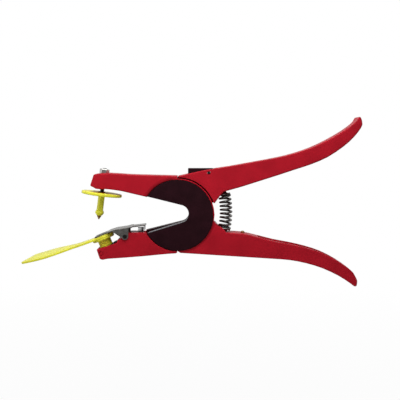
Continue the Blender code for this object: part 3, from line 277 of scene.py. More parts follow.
def worked(name, work):
    """Ends a bmesh as a mesh object in the scene."""
    mesh = bpy.data.meshes.new(name)
    work.to_mesh(mesh)
    work.free()
    return linked(name, mesh)


def settled(made):
    """Applies every modifier and returns the object as a plain mesh at the origin."""
    bpy.context.view_layer.update()
    graph = bpy.context.evaluated_depsgraph_get()
    mesh = bpy.data.meshes.new_from_object(made.evaluated_get(graph))
    mesh.transform(made.matrix_world)
    old = made.data
    made.modifiers.clear()
    made.data = mesh
    made.matrix_world = Matrix.Identity(4)
    if isinstance(old, bpy.types.Mesh) and old.users == 0:
        bpy.data.meshes.remove(old)
    return made


def smoothed(made):
    """Shades an object smooth, with its true corners kept."""
    made.data.shade_smooth()
    made.data.set_sharp_from_angle(angle=SMOOTH_ANGLE)
    return made


def turned(name, profile, place, sides, rounding=0.0):
    """A turned shape from pairs of radius and height along the place's local Z."""
    if rounding > 0.0:
        closed = profile[0][0] > TINY
        profile = eased(profile, rounding, closed=closed)
    work = bmesh.new()
    rings = []
    for radius, height in profile:
        if radius < TINY:
            rings.append([work.verts.new((0.0, 0.0, height))])
            continue
        ring = []
        for side in range(sides):
            angle = 2.0 * math.pi * side / sides
            ring.append(work.verts.new((radius * math.cos(angle), radius * math.sin(angle), height)))
        rings.append(ring)
    pairs = list(zip(rings, rings[1:]))
    if profile[0][0] > TINY:
        pairs.append((rings[-1], rings[0]))
    for upper, lower in pairs:
        for side in range(sides):
            after = (side + 1) % sides
            corners = []
            for corner in (upper[side % len(upper)], upper[after % len(upper)],
                           lower[after % len(lower)], lower[side % len(lower)]):
                if corner not in corners:
                    corners.append(corner)
            if len(corners) > 2:
                work.faces.new(corners)
    bmesh.ops.recalc_face_normals(work, faces=work.faces)
    work.transform(place)
    return smoothed(worked(name, work))


def bored(made, tool):
    """Cuts one object out of another and removes the cutter."""
    step = made.modifiers.new("cut", "BOOLEAN")
    step.object = tool
    step.operation = "DIFFERENCE"
    step.solver = "EXACT"
    made = settled(made)
    bpy.data.objects.remove(tool)
    return smoothed(made)


def merged(name, pieces):
    """Puts separate closed shapes into one object."""
    work = bmesh.new()
    for piece in pieces:
        work.from_mesh(piece.data)
        bpy.data.objects.remove(piece)
    return smoothed(worked(name, work))


# Rounded copies of CAD nodes

def point_gap(point, edge):
    """Distance from a point to an edge."""
    start = edge.verts[0].co
    along = edge.verts[1].co - start
    share = max(0.0, min(1.0, (point - start).dot(along) / max(along.length_squared, TINY * TINY)))
    return (start + along * share - point).length


def corner_room(face, room):
    """Limits each corner of a face to a rounding that stays clear of the face's other corners."""
    loops = list(face.loops)
    count = len(loops)
    for first in range(count):
        for second in range(first + 1, count):
            one = loops[first].edge
            other = loops[second].edge
            if one not in room and other not in room:
                continue
            apart = min(second - first, count - second + first)
            if apart > 2:
                clear = min(
                    point_gap(one.verts[0].co, other), point_gap(one.verts[1].co, other),
                    point_gap(other.verts[0].co, one), point_gap(other.verts[1].co, one),
                ) * CLEAR_SHARE
            elif apart == 1:
                corner = loops[second] if second - first == 1 else loops[first]
                if not corner.is_convex:
                    continue
                left = one.other_vert(corner.vert)
                right = other.other_vert(corner.vert)
                if left is None or right is None:
                    continue
                turn = (left.co - corner.vert.co).angle(right.co - corner.vert.co)
                clear = min(one.calc_length(), other.calc_length()) * CORNER_SHARE * math.tan(turn * 0.5)
            else:
                continue
            for edge in (one, other):
                if edge in room:
                    room[edge] = min(room[edge], clear)


def corner_widths(work, width_of):
    """The rounding of each corner: as asked, narrower where there is no room, changing slowly."""
    room = {}
    for edge in work.edges:
        if len(edge.link_faces) == 2 and edge.calc_face_angle() > CORNER_ANGLE:
            asked = width_of(edge)
            if asked > 0.0:
                room[edge] = asked
    for face in work.faces:
        if any(edge in room for edge in face.edges):
            corner_room(face, room)
    for _ in range(WIDTH_ROUNDS):
        for edge in room:
            for vert in edge.verts:
                here = (edge.other_vert(vert).co - vert.co).normalized()
                for other in vert.link_edges:
                    if other in room and other is not edge:
                        there = (other.other_vert(vert).co - vert.co).normalized()
                        change = WIDTH_CHANGE * here.cross(there).length
                        room[edge] = min(room[edge], room[other] + change)
    return room


def tiled_sides(made):
    """Divides each large flat side into triangles that follow its narrow parts."""
    work = bmesh.new()
    work.from_mesh(made.data)
    for face in list(work.faces):
        if len(face.verts) < MANY_CORNERS or abs(face.normal.y) < FACING_SIDE:
            continue
        corners = list(face.verts)
        depth = corners[0].co.y
        points = [Vector((vert.co.x, vert.co.z)) for vert in corners]
        found = delaunay_2d_cdt(points, [], [list(range(len(points)))], 1, WELD * 0.1)
        spots, _, tiles, sources = found[:4]
        verts = []
        for spot, source in zip(spots, sources):
            verts.append(corners[source[0]] if source else work.verts.new((spot.x, depth, spot.y)))
        for tile in tiles:
            ring = [verts[index] for index in tile]
            if len(set(ring)) == len(ring) and work.faces.get(ring) is None:
                work.faces.new(ring)
        work.faces.remove(face)
    bmesh.ops.recalc_face_normals(work, faces=work.faces)
    work.to_mesh(made.data)
    work.free()
    return made


def flat_faced(made):
    """Lets the large faces lead the shading, so that they look flat up to their rounded edges."""
    weighted = made.modifiers.new("shading", "WEIGHTED_NORMAL")
    weighted.mode = "FACE_AREA"
    weighted.weight = 50
    weighted.keep_sharp = True
    return settled(made)


def worn_copy(node, width_of, widest, segments):
    """A copy of a CAD node with its corners rounded, each by the width that width_of gives it."""
    work = bmesh.new()
    work.from_mesh(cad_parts[node].data)
    bmesh.ops.remove_doubles(work, verts=work.verts, dist=WELD)
    bmesh.ops.dissolve_limit(work, angle_limit=FLAT_ANGLE, verts=work.verts, edges=work.edges)
    weights = work.edges.layers.float.new("bevel_weight_edge")
    for edge, width in corner_widths(work, width_of).items():
        edge[weights] = width / widest
    made = worked(node + "_finish", work)
    bevel = made.modifiers.new("rounding", "BEVEL")
    bevel.width = widest
    bevel.segments = segments
    bevel.limit_method = "WEIGHT"
    bevel.use_clamp_overlap = False
    bevel.loop_slide = False
    return flat_faced(smoothed(tiled_sides(settled(made))))


def evenly_worn(node, edge):
    """A copy of a CAD node with all its corners rounded alike."""
    return worn_copy(node, lambda corner: edge, edge, SMALL_SEGMENTS)


def coated(made, finish):
    """Gives an object one finish and no other."""
    made.data.materials.clear()
    made.data.materials.append(finish_of(finish))


def dressed(made, slot, body, *nodes, finish=None):
    """Gives a piece its finish, named by slot unless finish is given, puts it on its body and hides the CAD
    nodes it stands for.
    """
    coated(made, finish or slot)
    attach(made, body)
    if nodes:
        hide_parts(*nodes)
    return made


def rounded(node, edge, slot, body):
    """Finishes a CAD node in its own shape, with all its corners rounded alike."""
    return dressed(evenly_worn(node, edge), slot, body, node)


# Node trees

def added(tree, kind, inputs, outlet=0, **settings):
    """Adds a node, gives its inputs a socket or a plain value each, and returns one of its outputs."""
    node = tree.nodes.new(kind)
    for name, value in settings.items():
        setattr(node, name, value)
    for label, value in inputs.items():
        if isinstance(value, bpy.types.NodeSocket):
            tree.links.new(value, node.inputs[label])
        else:
            node.inputs[label].default_value = value
    return node.outputs[outlet]


def parts(tree, vector):
    """The three parts of a vector."""
    node = tree.nodes.new("ShaderNodeSeparateXYZ")
    tree.links.new(vector, node.inputs["Vector"])
    return tuple(node.outputs)


class Calculator:
    """Adds arithmetic to a node tree. Each input is a socket or a plain number."""

    def __init__(self, tree):
        self.tree = tree

    def step(self, operation, *values):
        """One Math node."""
        return added(self.tree, "ShaderNodeMath", dict(enumerate(values)), operation=operation)

    def total(self, first, *others):
        """All the values added up."""
        for other in others:
            first = self.step("ADD", first, other)
        return first

    def product(self, first, *others):
        """All the values multiplied."""
        for other in others:
            first = self.step("MULTIPLY", first, other)
        return first

    def clamp(self, value, low, high):
        """Holds a value between two limits."""
        return self.step("MINIMUM", self.step("MAXIMUM", value, low), high)

    def reach(self, x, z):
        """How far a point seen from the side lies from the turning centre."""
        return self.step("SQRT", self.total(self.product(x, x), self.product(z, z)))


def grain(tree, spot, scale, detail=3.0, stretch=None):
    """A noise pattern, stretched along an axis where the finish is drawn or brushed."""
    if stretch is not None:
        spot = added(tree, "ShaderNodeMapping", {"Vector": spot, "Scale": stretch}, "Vector")
    return added(tree, "ShaderNodeTexNoise", {"Vector": spot, "Scale": scale, "Detail": detail}, "Fac")


def spread(tree, factor, low, high, start=0.3, end=0.7):
    """Spreads a pattern over a range of values."""
    limits = {"From Min": start, "From Max": end, "To Min": low, "To Max": high}
    return added(tree, "ShaderNodeMapRange", {"Value": factor, **limits}, "Result")


def tinted(tree, factor, dark, light, start=0.3, end=0.7):
    """A colour that drifts between two tones with a pattern."""
    ramp = tree.nodes.new("ShaderNodeValToRGB")
    for element, place, colour in zip(ramp.color_ramp.elements, (start, end), (dark, light)):
        element.position = place
        element.color = (*colour, 1.0)
    tree.links.new(factor, ramp.inputs["Fac"])
    return ramp.outputs["Color"]


def shade(colour, share):
    """A darker or lighter tone of a colour."""
    return tuple(min(1.0, part * share) for part in colour)


# Materials

def shader_tree(name):
    """A new material with its tree, its Principled shader and Object coordinates."""
    material = bpy.data.materials.new(name)
    material.use_nodes = True
    tree = material.node_tree
    return material, tree, tree.nodes["Principled BSDF"], added(tree, "ShaderNodeTexCoord", {}, "Object")


def mottled(name, colour, patches, patch_detail, dark, light, gloss, smooth, rough, skin, relief,
            dark_until=0.3, light_from=0.7, skin_depth=0.0002, stretch=None, overlay=None, **inputs):
    """A finish in patches of a dark and a light tone, with uneven gloss and a fine relief.

    Patches, gloss and skin are the scales of their patterns. An overlay changes the colour, and the
    remaining inputs go to the shader by name.
    """
    material, tree, shader, spot = shader_tree(name)
    pattern = grain(tree, spot, patches, patch_detail)
    tone = tinted(tree, pattern, shade(colour, dark), shade(colour, light), dark_until, light_from)
    if overlay is not None:
        tone = overlay(tree, spot, tone)
    raised_skin = added(tree, "ShaderNodeBump", {
        "Height": grain(tree, spot, skin, 2.0, stretch), "Strength": relief, "Distance": skin_depth,
    }, "Normal")
    tree.links.new(tone, shader.inputs["Base Color"])
    tree.links.new(spread(tree, grain(tree, spot, gloss), smooth, rough), shader.inputs["Roughness"])
    tree.links.new(raised_skin, shader.inputs["Normal"])
    for label, value in inputs.items():
        shader.inputs[label.replace("_", " ")].default_value = value
    return material


def painted_seat_shade(tree, spot, tone):
    """Darkens the enamel round the near cover's seat: painted shade where the cover meets the casting."""
    calc = Calculator(tree)
    x, _, z = parts(tree, spot)
    radius = calc.reach(x, z)
    left = 1.0
    # Each patch is painted shade, deepest at the seat's edge and fading out over its width
    for middle, low, high, depth, reach in SEAT_SHADE_PATCHES:
        toward = calc.total(calc.product(x, math.cos(middle)), calc.product(z, math.sin(middle)))
        window = spread(tree, calc.step("DIVIDE", toward, radius), 0.0, 1.0, low, high)
        fade = spread(tree, radius, depth, 0.0, SEAT_RADIUS, SEAT_RADIUS + reach)
        left = calc.product(left, calc.step("SUBTRACT", 1.0, calc.product(window, fade)))
    return added(tree, "ShaderNodeHueSaturation", {"Value": left, "Color": tone}, "Color")


def red_enamel(colours):
    """Baked enamel on a sand-cast body: slight drift of tone, orange peel, and painted shade in the seat's
    corner.
    """
    return mottled(
        "red enamel", colours.enamel, patches=60.0, patch_detail=4.0, dark=0.90, light=1.10,
        gloss=220.0, smooth=0.34, rough=0.48, skin=900.0, relief=0.10, skin_depth=0.0003,
        overlay=painted_seat_shade, Specular_IOR_Level=0.045)


def black_moulding(colours):
    """Black moulded plastic with a fine spark-eroded grain, painted lighter grey on the throat's flange where
    it faces up, as a painted sheen.
    """
    def painted_flange_sheen(tree, spot, tone):
        """Paints a grey sheen on the near flange's upward faces along the throat, standing in for light from
        above.
        """
        calc = Calculator(tree)
        x, y, z = parts(tree, spot)
        facing = parts(tree, added(tree, "ShaderNodeTexCoord", {}, "Normal"))
        upward = spread(tree, facing[2], 0.0, 1.0, *FLANGE_FACING)
        inside = spread(tree, calc.reach(x, z), 1.0, 0.0, *FLANGE_EDGE)
        near = spread(tree, y, 1.0, 0.0, *FLANGE_NEAR)
        # Painted sheen: the near flange's upward faces inside the seat are painted grey
        sheen_share = calc.product(upward, inside, near)
        grey = tinted(tree, grain(tree, spot, 500.0), shade(colours.flange_sheen, 0.7), colours.flange_sheen)
        return added(tree, "ShaderNodeMix", {0: sheen_share, 6: tone, 7: grey}, 2, data_type="RGBA")

    return mottled(
        "black moulding", colours.moulding, patches=90.0, patch_detail=3.0, dark=0.80, light=1.25,
        gloss=400.0, smooth=0.42, rough=0.58, skin=1800.0, relief=0.12,
        overlay=painted_flange_sheen, Specular_IOR_Level=0.07)


def plated_steel(colours):
    """Bright zinc-plated steel with drawn marks and a little handling dirt."""
    return mottled(
        "plated steel", colours.steel, patches=500.0, patch_detail=4.0, dark=0.55, light=1.0,
        dark_until=0.35, light_from=0.55, gloss=700.0, smooth=0.16, rough=0.34, skin=1400.0, relief=0.05,
        Metallic=1.0)


def drawn_wire(colours):
    """Grey spring wire with drawn marks and darker patches."""
    return mottled(
        "drawn wire", colours.wire, patches=420.0, patch_detail=4.0, dark=0.55, light=1.3,
        dark_until=0.38, light_from=0.6, gloss=900.0, smooth=0.26, rough=0.42, skin=1700.0, relief=0.05,
        Metallic=0.95)


def dark_steel(colours):
    """Oil-blackened steel, worn a little lighter in patches."""
    return mottled(
        "blackened steel", colours.blackened, patches=350.0, patch_detail=4.0, dark=0.7, light=1.8,
        dark_until=0.4, light_from=0.7, gloss=800.0, smooth=0.35, rough=0.55, skin=1500.0, relief=0.06,
        Metallic=0.8)


def pressed_sheet(colours):
    """Grey pressed sheet: rolled lines along the clip, tarnish in patches."""
    return mottled(
        "pressed sheet", colours.sheet, patches=330.0, patch_detail=5.0, dark=0.65, light=1.15,
        gloss=600.0, smooth=0.30, rough=0.50, skin=900.0, relief=0.10, stretch=(0.2, 1.0, 1.0),
        Metallic=0.85)


def dull_brass(colours):
    """Brown brass with spots of oxide."""
    return mottled(
        "dull brass", colours.brass, patches=700.0, patch_detail=4.0, dark=0.45, light=1.1,
        dark_until=0.35, light_from=0.6, gloss=900.0, smooth=0.30, rough=0.50, skin=1600.0, relief=0.06,
        Metallic=0.9)


def yellow_tag_plastic(colours):
    """Soft yellow tag plastic, slightly see-into, with a satin moulded skin."""
    return mottled(
        "yellow tag plastic", colours.tag, patches=120.0, patch_detail=3.0, dark=0.90, light=1.06,
        gloss=500.0, smooth=0.38, rough=0.52, skin=1300.0, relief=0.04,
        Subsurface_Weight=0.05, Subsurface_Radius=(1.0, 0.8, 0.1), Subsurface_Scale=0.002)


def white_nylon(colours):
    """White nylon of the wear plate, faintly mottled and evenly dull."""
    return mottled(
        "white nylon", colours.nylon, patches=260.0, patch_detail=3.0, dark=0.92, light=1.0,
        gloss=500.0, smooth=0.50, rough=0.50, skin=1500.0, relief=0.06)


FINISHES = {
    "red_coating": red_enamel,
    "black_cover": black_moulding,
    "bright_steel": plated_steel,
    "spring_wire": drawn_wire,
    "dark_steel": dark_steel,
    "clip_sheet": pressed_sheet,
    "brass": dull_brass,
    "yellow_tag": yellow_tag_plastic,
    "white_nylon": white_nylon,
}
made_finishes = {}


def finish_of(finish):
    """The material of a finish, made the first time that a piece asks for it."""
    if finish not in made_finishes:
        made_finishes[finish] = FINISHES[finish](bpy.context.scene.applicator_colours)
    return made_finishes[finish]


# Geometry Nodes

def new_tree(name, sizes):
    """A Geometry Nodes tree with named sizes and its material as its inputs."""
    tree = bpy.data.node_groups.new(name, "GeometryNodeTree")
    for label, kind, value in (*sizes, ("Material", "NodeSocketMaterial", None)):
        socket = tree.interface.new_socket(label, in_out="INPUT", socket_type=kind)
        if value is not None:
            socket.default_value = value
    tree.interface.new_socket("Geometry", in_out="OUTPUT", socket_type="NodeSocketGeometry")
    return tree, tree.nodes.new("NodeGroupInput").outputs


def close_tree(tree, size, geometry):
    """Ends a tree in Realize Instances, smooth shading and Set Material."""
    real = added(tree, "GeometryNodeRealizeInstances", {"Geometry": geometry})
    smooth = added(tree, "GeometryNodeSetShadeSmooth", {"Geometry": real})
    finished = added(tree, "GeometryNodeSetMaterial", {"Geometry": smooth, "Material": size["Material"]})
    tree.links.new(finished, tree.nodes.new("NodeGroupOutput").inputs["Geometry"])
    return tree


def grown(name, tree, values):
    """Runs a tree on an empty mesh with the given inputs and keeps the plain result."""
    made = linked(name, bpy.data.meshes.new(name))
    modifier = made.modifiers.new("grow", "NODES")
    modifier.node_group = tree
    for item in tree.interface.items_tree:
        if item.item_type == "SOCKET" and item.in_out == "INPUT" and item.name in values:
            modifier[item.identifier] = values[item.name]
    return settled(made)


def wound_wire_tree():
    """A wire wound up from its lower end, with close end turns and a bow that fans them out."""
    tree, size = new_tree("wound wire", (
        ("Turns", "NodeSocketFloat", 9.5),
        ("Close Turns", "NodeSocketFloat", 0.8),
        ("Radius", "NodeSocketFloat", 0.005),
        ("Wire", "NodeSocketFloat", 0.0016),
        ("Height", "NodeSocketFloat", 0.036),
        ("Bow", "NodeSocketFloat", 0.0),
        ("Start", "NodeSocketVector", None),
        ("Points", "NodeSocketInt", 400),
    ))
    calc = Calculator(tree)
    turns, close, wire = size["Turns"], size["Close Turns"], size["Wire"]
    share = added(tree, "GeometryNodeSplineParameter", {}, "Factor")
    turn = calc.product(share, turns)
    angle = calc.product(turn, 2.0 * math.pi)
    arch = calc.product(share, math.pi)
    lean = calc.product(calc.step("SINE", arch), size["Bow"])
    x = calc.total(lean, calc.product(size["Radius"], calc.step("COSINE", angle)))
    y = calc.product(size["Radius"], calc.step("SINE", angle))
    open_turns = calc.step("SUBTRACT", turns, calc.product(close, 2.0))
    open_rise = calc.step("SUBTRACT", size["Height"], calc.total(wire, calc.product(close, wire, 2.0)))
    pitch = calc.step("DIVIDE", open_rise, open_turns)
    first = calc.clamp(turn, 0.0, close)
    middle = calc.clamp(calc.step("SUBTRACT", turn, close), 0.0, open_turns)
    last = calc.clamp(calc.step("SUBTRACT", turn, calc.total(open_turns, close)), 0.0, close)
    close_rise = calc.product(calc.total(first, last), wire)
    even = calc.total(close_rise, calc.product(middle, pitch), calc.product(wire, 0.5))
    slope = calc.step("DIVIDE", calc.product(calc.step("COSINE", arch), size["Bow"], math.pi), size["Height"])
    free = calc.clamp(calc.step("MINIMUM", turn, calc.step("SUBTRACT", turns, turn)), 0.0, 1.0)
    fan = calc.product(slope, free, calc.step("SUBTRACT", x, lean))
    rise = calc.step("SUBTRACT", even, fan)
    spot = added(tree, "ShaderNodeCombineXYZ", {"X": x, "Y": y, "Z": rise})
    place = added(tree, "ShaderNodeVectorMath", {0: spot, 1: size["Start"]}, "Vector")
    line = added(tree, "GeometryNodeCurvePrimitiveLine", {}, "Curve")
    points = added(tree, "GeometryNodeResampleCurve", {"Curve": line, "Count": size["Points"]}, "Curve")
    path = added(tree, "GeometryNodeSetPosition", {"Geometry": points, "Position": place})
    section = added(tree, "GeometryNodeCurvePrimitiveCircle", {
        "Resolution": WIRE_SIDES, "Radius": calc.product(wire, 0.5),
    })
    tube = added(tree, "GeometryNodeCurveToMesh", {
        "Curve": path, "Profile Curve": section, "Fill Caps": True,
    })
    return close_tree(tree, size, tube)


def ring_row_tree():
    """Rings in a row along Z, as the crests of a thread or the ribs of a neck."""
    tree, size = new_tree("row of rings", (
        ("Count", "NodeSocketInt", 5),
        ("Pitch", "NodeSocketFloat", 0.0008),
        ("Ring Radius", "NodeSocketFloat", 0.0018),
        ("Crest", "NodeSocketFloat", 0.0003),
    ))
    circle = "GeometryNodeCurvePrimitiveCircle"
    step = added(tree, "ShaderNodeCombineXYZ", {"Z": size["Pitch"]})
    row = added(tree, "GeometryNodeMeshLine", {"Count": size["Count"], "Offset": step})
    hoop = added(tree, circle, {"Resolution": HOOP_SIDES, "Radius": size["Ring Radius"]})
    crest = added(tree, circle, {"Resolution": CREST_SIDES, "Radius": size["Crest"]})
    ring = added(tree, "GeometryNodeCurveToMesh", {"Curve": hoop, "Profile Curve": crest})
    copies = added(tree, "GeometryNodeInstanceOnPoints", {"Points": row, "Instance": ring})
    return close_tree(tree, size, copies)


def ring_row(name, place, start, count, pitch, radius, crest, finish):
    """A row of rings along a place's local Z, as one plain mesh."""
    tree = bpy.data.node_groups.get("row of rings") or ring_row_tree()
    made = grown(name, tree, {
        "Count": count, "Pitch": pitch, "Ring Radius": radius, "Crest": crest, "Material": finish_of(finish),
    })
    made.data.transform(place @ Matrix.Translation((0.0, 0.0, start)))
    return made


# Sizes and colours that a user would change

class ApplicatorSizes(bpy.types.PropertyGroup):
    """Rounding, wire and tag sizes of the finished applicator."""

    casting_edge: FloatProperty(
        name="Casting Edge", description="Rounding along the castings' outer edges",
        default=0.0013, min=0.0002, max=0.003, unit="LENGTH")
    seat_fillet: FloatProperty(
        name="Seat Fillet", description="Rounding where the upper jaw dips to the hub cover",
        default=0.0013, min=0.0002, max=0.0013, unit="LENGTH")
    rim_edge: FloatProperty(
        name="Rim Edge", description="Rounding of the thin rim round the hub cover",
        default=0.0004, min=0.0001, max=0.0006, unit="LENGTH")
    cover_edge: FloatProperty(
        name="Cover Edge", description="Rounding of the hub covers' edges",
        default=0.0005, min=0.0001, max=0.001, unit="LENGTH")
    small_edge: FloatProperty(
        name="Small Edge", description="Rounding of small turned and cut pieces",
        default=0.00025, min=0.00005, max=0.0006, unit="LENGTH")
    tag_edge: FloatProperty(
        name="Tag Edge", description="Rounding of the tags' moulded edges",
        default=0.0006, min=0.0001, max=0.0009, unit="LENGTH")
    spring_turns: FloatProperty(
        name="Spring Turns", description="Turns of the return spring",
        default=10.0, min=4.0, max=14.0)
    spring_wire: FloatProperty(
        name="Spring Wire", description="Wire thickness of the return spring",
        default=0.0019, min=0.0008, max=0.0024, unit="LENGTH")
    spring_bow: FloatProperty(
        name="Spring Bow", description="How far the return spring bows towards the handles",
        default=0.0020, min=0.0, max=0.004, unit="LENGTH")
    clip_spring_turns: FloatProperty(
        name="Clip Spring Turns", description="Turns of the small spring under the clip",
        default=6.0, min=3.0, max=10.0)


COLOUR = {"size": 3, "min": 0.0, "max": 1.0, "subtype": "COLOR"}


class ApplicatorColours(bpy.types.PropertyGroup):
    """Base colours of the applicator's finishes."""

    enamel: FloatVectorProperty(
        name="Enamel", description="Red enamel of the castings", default=(0.480, 0.0115, 0.0240), **COLOUR)
    moulding: FloatVectorProperty(
        name="Moulding", description="Black plastic of the hub covers",
        default=(0.0200, 0.0042, 0.0072), **COLOUR)
    # The grey of the flange's painted sheen, which stands in for light from above on its upward faces.
    flange_sheen: FloatVectorProperty(
        name="Painted Flange Sheen", description="Grey painted on the black plastic's upward flange faces as a painted sheen",
        default=(0.21, 0.21, 0.225), **COLOUR)
    wire: FloatVectorProperty(
        name="Drawn Wire", description="Grey drawn wire of the springs",
        default=(0.16, 0.155, 0.15), **COLOUR)
    steel: FloatVectorProperty(
        name="Steel", description="Bright plated steel", default=(0.66, 0.65, 0.62), **COLOUR)
    blackened: FloatVectorProperty(
        name="Blackened Steel", description="Oil-blackened steel of pins and studs",
        default=(0.022, 0.020, 0.019), **COLOUR)
    sheet: FloatVectorProperty(
        name="Sheet", description="Grey pressed sheet of the clip", default=(0.21, 0.202, 0.190), **COLOUR)
    brass: FloatVectorProperty(
        name="Brass", description="Brown brass of the tag's point and the spare pin",
        default=(0.36, 0.20, 0.075), **COLOUR)
    tag: FloatVectorProperty(
        name="Tag", description="Yellow plastic of both tags", default=(1.0, 0.94, 0.046), **COLOUR)
    nylon: FloatVectorProperty(
        name="Nylon", description="White nylon of the wear plate", default=(0.74, 0.74, 0.71), **COLOUR)


class ApplicatorStage(bpy.types.PropertyGroup):
    """Camera, lamps and floor."""

    camera_distance: FloatProperty(
        name="Camera Distance", description="From the camera to the point that it looks at",
        default=0.78, min=0.4, max=3.0, unit="LENGTH")
    camera_height: FloatProperty(
        name="Camera Elevation", description="Camera's angle above the horizon",
        default=math.radians(3.8), min=0.0, max=math.radians(80.0), subtype="ANGLE")
    camera_angle: FloatProperty(
        name="View Angle", description="The camera's field of view",
        default=math.radians(26.67), min=math.radians(5.0), max=math.radians(60.0), subtype="ANGLE")
    aim: FloatVectorProperty(
        name="Aim", description="The point that the camera looks at",
        default=(0.0204, 0.0, 0.0134), size=3, subtype="TRANSLATION", unit="LENGTH")
    key_power: FloatProperty(
        name="Key Lamp", description="Power of the broad lamp above",
        default=2.9, min=0.0, max=100.0, subtype="POWER")
    front_power: FloatProperty(
        name="Front Lamp", description="Power of the small lamp in front",
        default=0.35, min=0.0, max=100.0, subtype="POWER")
    side_power: FloatProperty(
        name="Side Lamp", description="Power of the low lamp at the left, which lights the tags",
        default=0.40, min=0.0, max=100.0, subtype="POWER")
    floor_drop: FloatProperty(
        name="Floor Drop", description="How far the floor lies under the turning centre",
        default=0.21, min=0.07, max=1.0, unit="LENGTH")


# Operators

def casting_width(sizes):
    """Gives each corner of a casting its rounding, in metres."""
    def width_of(edge):
        middle = (edge.verts[0].co + edge.verts[1].co) * 0.5
        radius = math.hypot(middle.x, middle.z)
        if min(abs(vert.co.y) for vert in edge.verts) < HALF_BODY - FACE_DEPTH:
            along = (edge.verts[0].co - edge.verts[1].co).normalized()
            crosses = abs(along.y) >= ALONG_Y and edge.calc_length() >= HALF_BODY
            # Edges across the body are rounded only beyond the hub and the band of painted shade round the
            # seat
            return sizes.casting_edge if crosses and radius >= HUB_REACH + SEAT_SHADE_REACH else 0.0
        if radius > HUB_REACH:
            return sizes.casting_edge
        if radius < SEAT_RADIUS - SEAT_BAND * 2.0:
            return 0.0
        dips = SEAT_FILLET_START < math.atan2(middle.z, middle.x) < SEAT_FILLET_END
        return sizes.seat_fillet if dips and abs(radius - SEAT_RADIUS) < SEAT_BAND else sizes.rim_edge
    return width_of


def drawn(made, spot, reach, shift):
    """Moves the outline near a spot seen from the side, by less the further away it is."""
    for vert in made.data.vertices:
        apart = math.hypot(vert.co.x - spot[0], vert.co.z - spot[1]) / reach
        share = max(0.0, 1.0 - apart ** 2) ** 2
        vert.co.x += shift[0] * share
        vert.co.z += shift[1] * share


def close_top_notch(made):
    """Draws the upper handle's thin front tip up to the upper jaw, over the hub's rim."""
    for vert in made.data.vertices:
        if vert.co.z > HUB_TOP:
            share = max(0.0, 1.0 - max(0.0, vert.co.x) / NOTCH_REACH)
            vert.co.x -= NOTCH_DRAW * share


class APPLICATOR_OT_castings(bpy.types.Operator):
    """Round the edges of the two red castings and enamel them"""

    bl_idname = "applicator.castings"
    bl_label = "Castings"

    def execute(self, context):
        sizes = context.scene.applicator_sizes
        for node, body in (("upper_jaw_casting", "upper_half"), ("lower_jaw_casting", "lower_half")):
            made = worn_copy(node, casting_width(sizes), sizes.casting_edge, CASTING_SEGMENTS)
            if node == "lower_jaw_casting":
                close_top_notch(made)
                for spot, reach, shift in CORNER_DRAWS:
                    drawn(made, spot, reach, shift)
            dressed(made, "red_coating", body, node)
        return {"FINISHED"}


class APPLICATOR_OT_hub_covers(bpy.types.Operator):
    """Round the edges of the two C-shaped hub covers"""

    bl_idname = "applicator.hub_covers"
    bl_label = "Hub Covers"

    def execute(self, context):
        edge = context.scene.applicator_sizes.cover_edge
        for node, body in (("near_hub_cover", "upper_half"), ("far_hub_cover", "lower_half")):
            made = evenly_worn(node, edge)
            made.data.transform(Matrix.Diagonal((COVER_SPREAD, 1.0, COVER_SPREAD, 1.0)))
            dressed(made, "black_cover", body, node)
        return {"FINISHED"}


class APPLICATOR_OT_hidden_hub(bpy.types.Operator):
    """Finish the rivets, sleeves, wear plate and seat pieces"""

    bl_idname = "applicator.hidden_hub"
    bl_label = "Rivets and Seats"

    def execute(self, context):
        coated(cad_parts["hub_liner"], "white_nylon")
        coated(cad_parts["seat_insert"], "black_cover")
        for number in (1, 2, 3):
            coated(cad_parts[f"guide_rivet_{number}"], "bright_steel")
            coated(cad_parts[f"guide_sleeve_{number}"], "brass")
        for node in ("near_seat_pin", "far_seat_pin"):
            rounded(node, context.scene.applicator_sizes.small_edge, "red_coating", "lower_half")
        return {"FINISHED"}


class APPLICATOR_OT_applicator_pin(bpy.types.Operator):
    """Make the applicator pin, its nut with a threaded end, and the spare pin"""

    bl_idname = "applicator.applicator_pin"
    bl_label = "Pins and Nut"

    def execute(self, context):
        edge = context.scene.applicator_sizes.small_edge
        place = jaw_line(PIN_LEAN)
        top, point = along_line("applicator_pin", place)
        collar_end = COLLAR_HEIGHT + COLLAR_DEPTH
        profile = [
            (0.0, top), (SHAFT_RADIUS - edge, top), (SHAFT_RADIUS, top + edge), (SHAFT_RADIUS, COLLAR_HEIGHT),
            (COLLAR_RADIUS, COLLAR_HEIGHT), (COLLAR_RADIUS, collar_end), (SHAFT_RADIUS, collar_end),
            (SHAFT_RADIUS, point - POINT_DEPTH), (SHAFT_RADIUS * POINT_SHARE, point), (0.0, point),
        ]
        pin = turned("applicator_pin_finish", profile, place, PIN_SIDES, edge)
        dressed(pin, "dark_steel", "upper_half", "applicator_pin")
        crests = ring_row("applicator_pin_thread", place, top + THREAD_START, THREAD_CRESTS, THREAD_PITCH,
                          SHAFT_RADIUS - THREAD_SINK, THREAD_CREST, "bright_steel")
        dressed(crests, "bright_steel", "upper_half")
        rounded("pin_nut", edge, "bright_steel", "upper_half")
        rounded("spare_pin", edge, "brass", "upper_half")
        return {"FINISHED"}


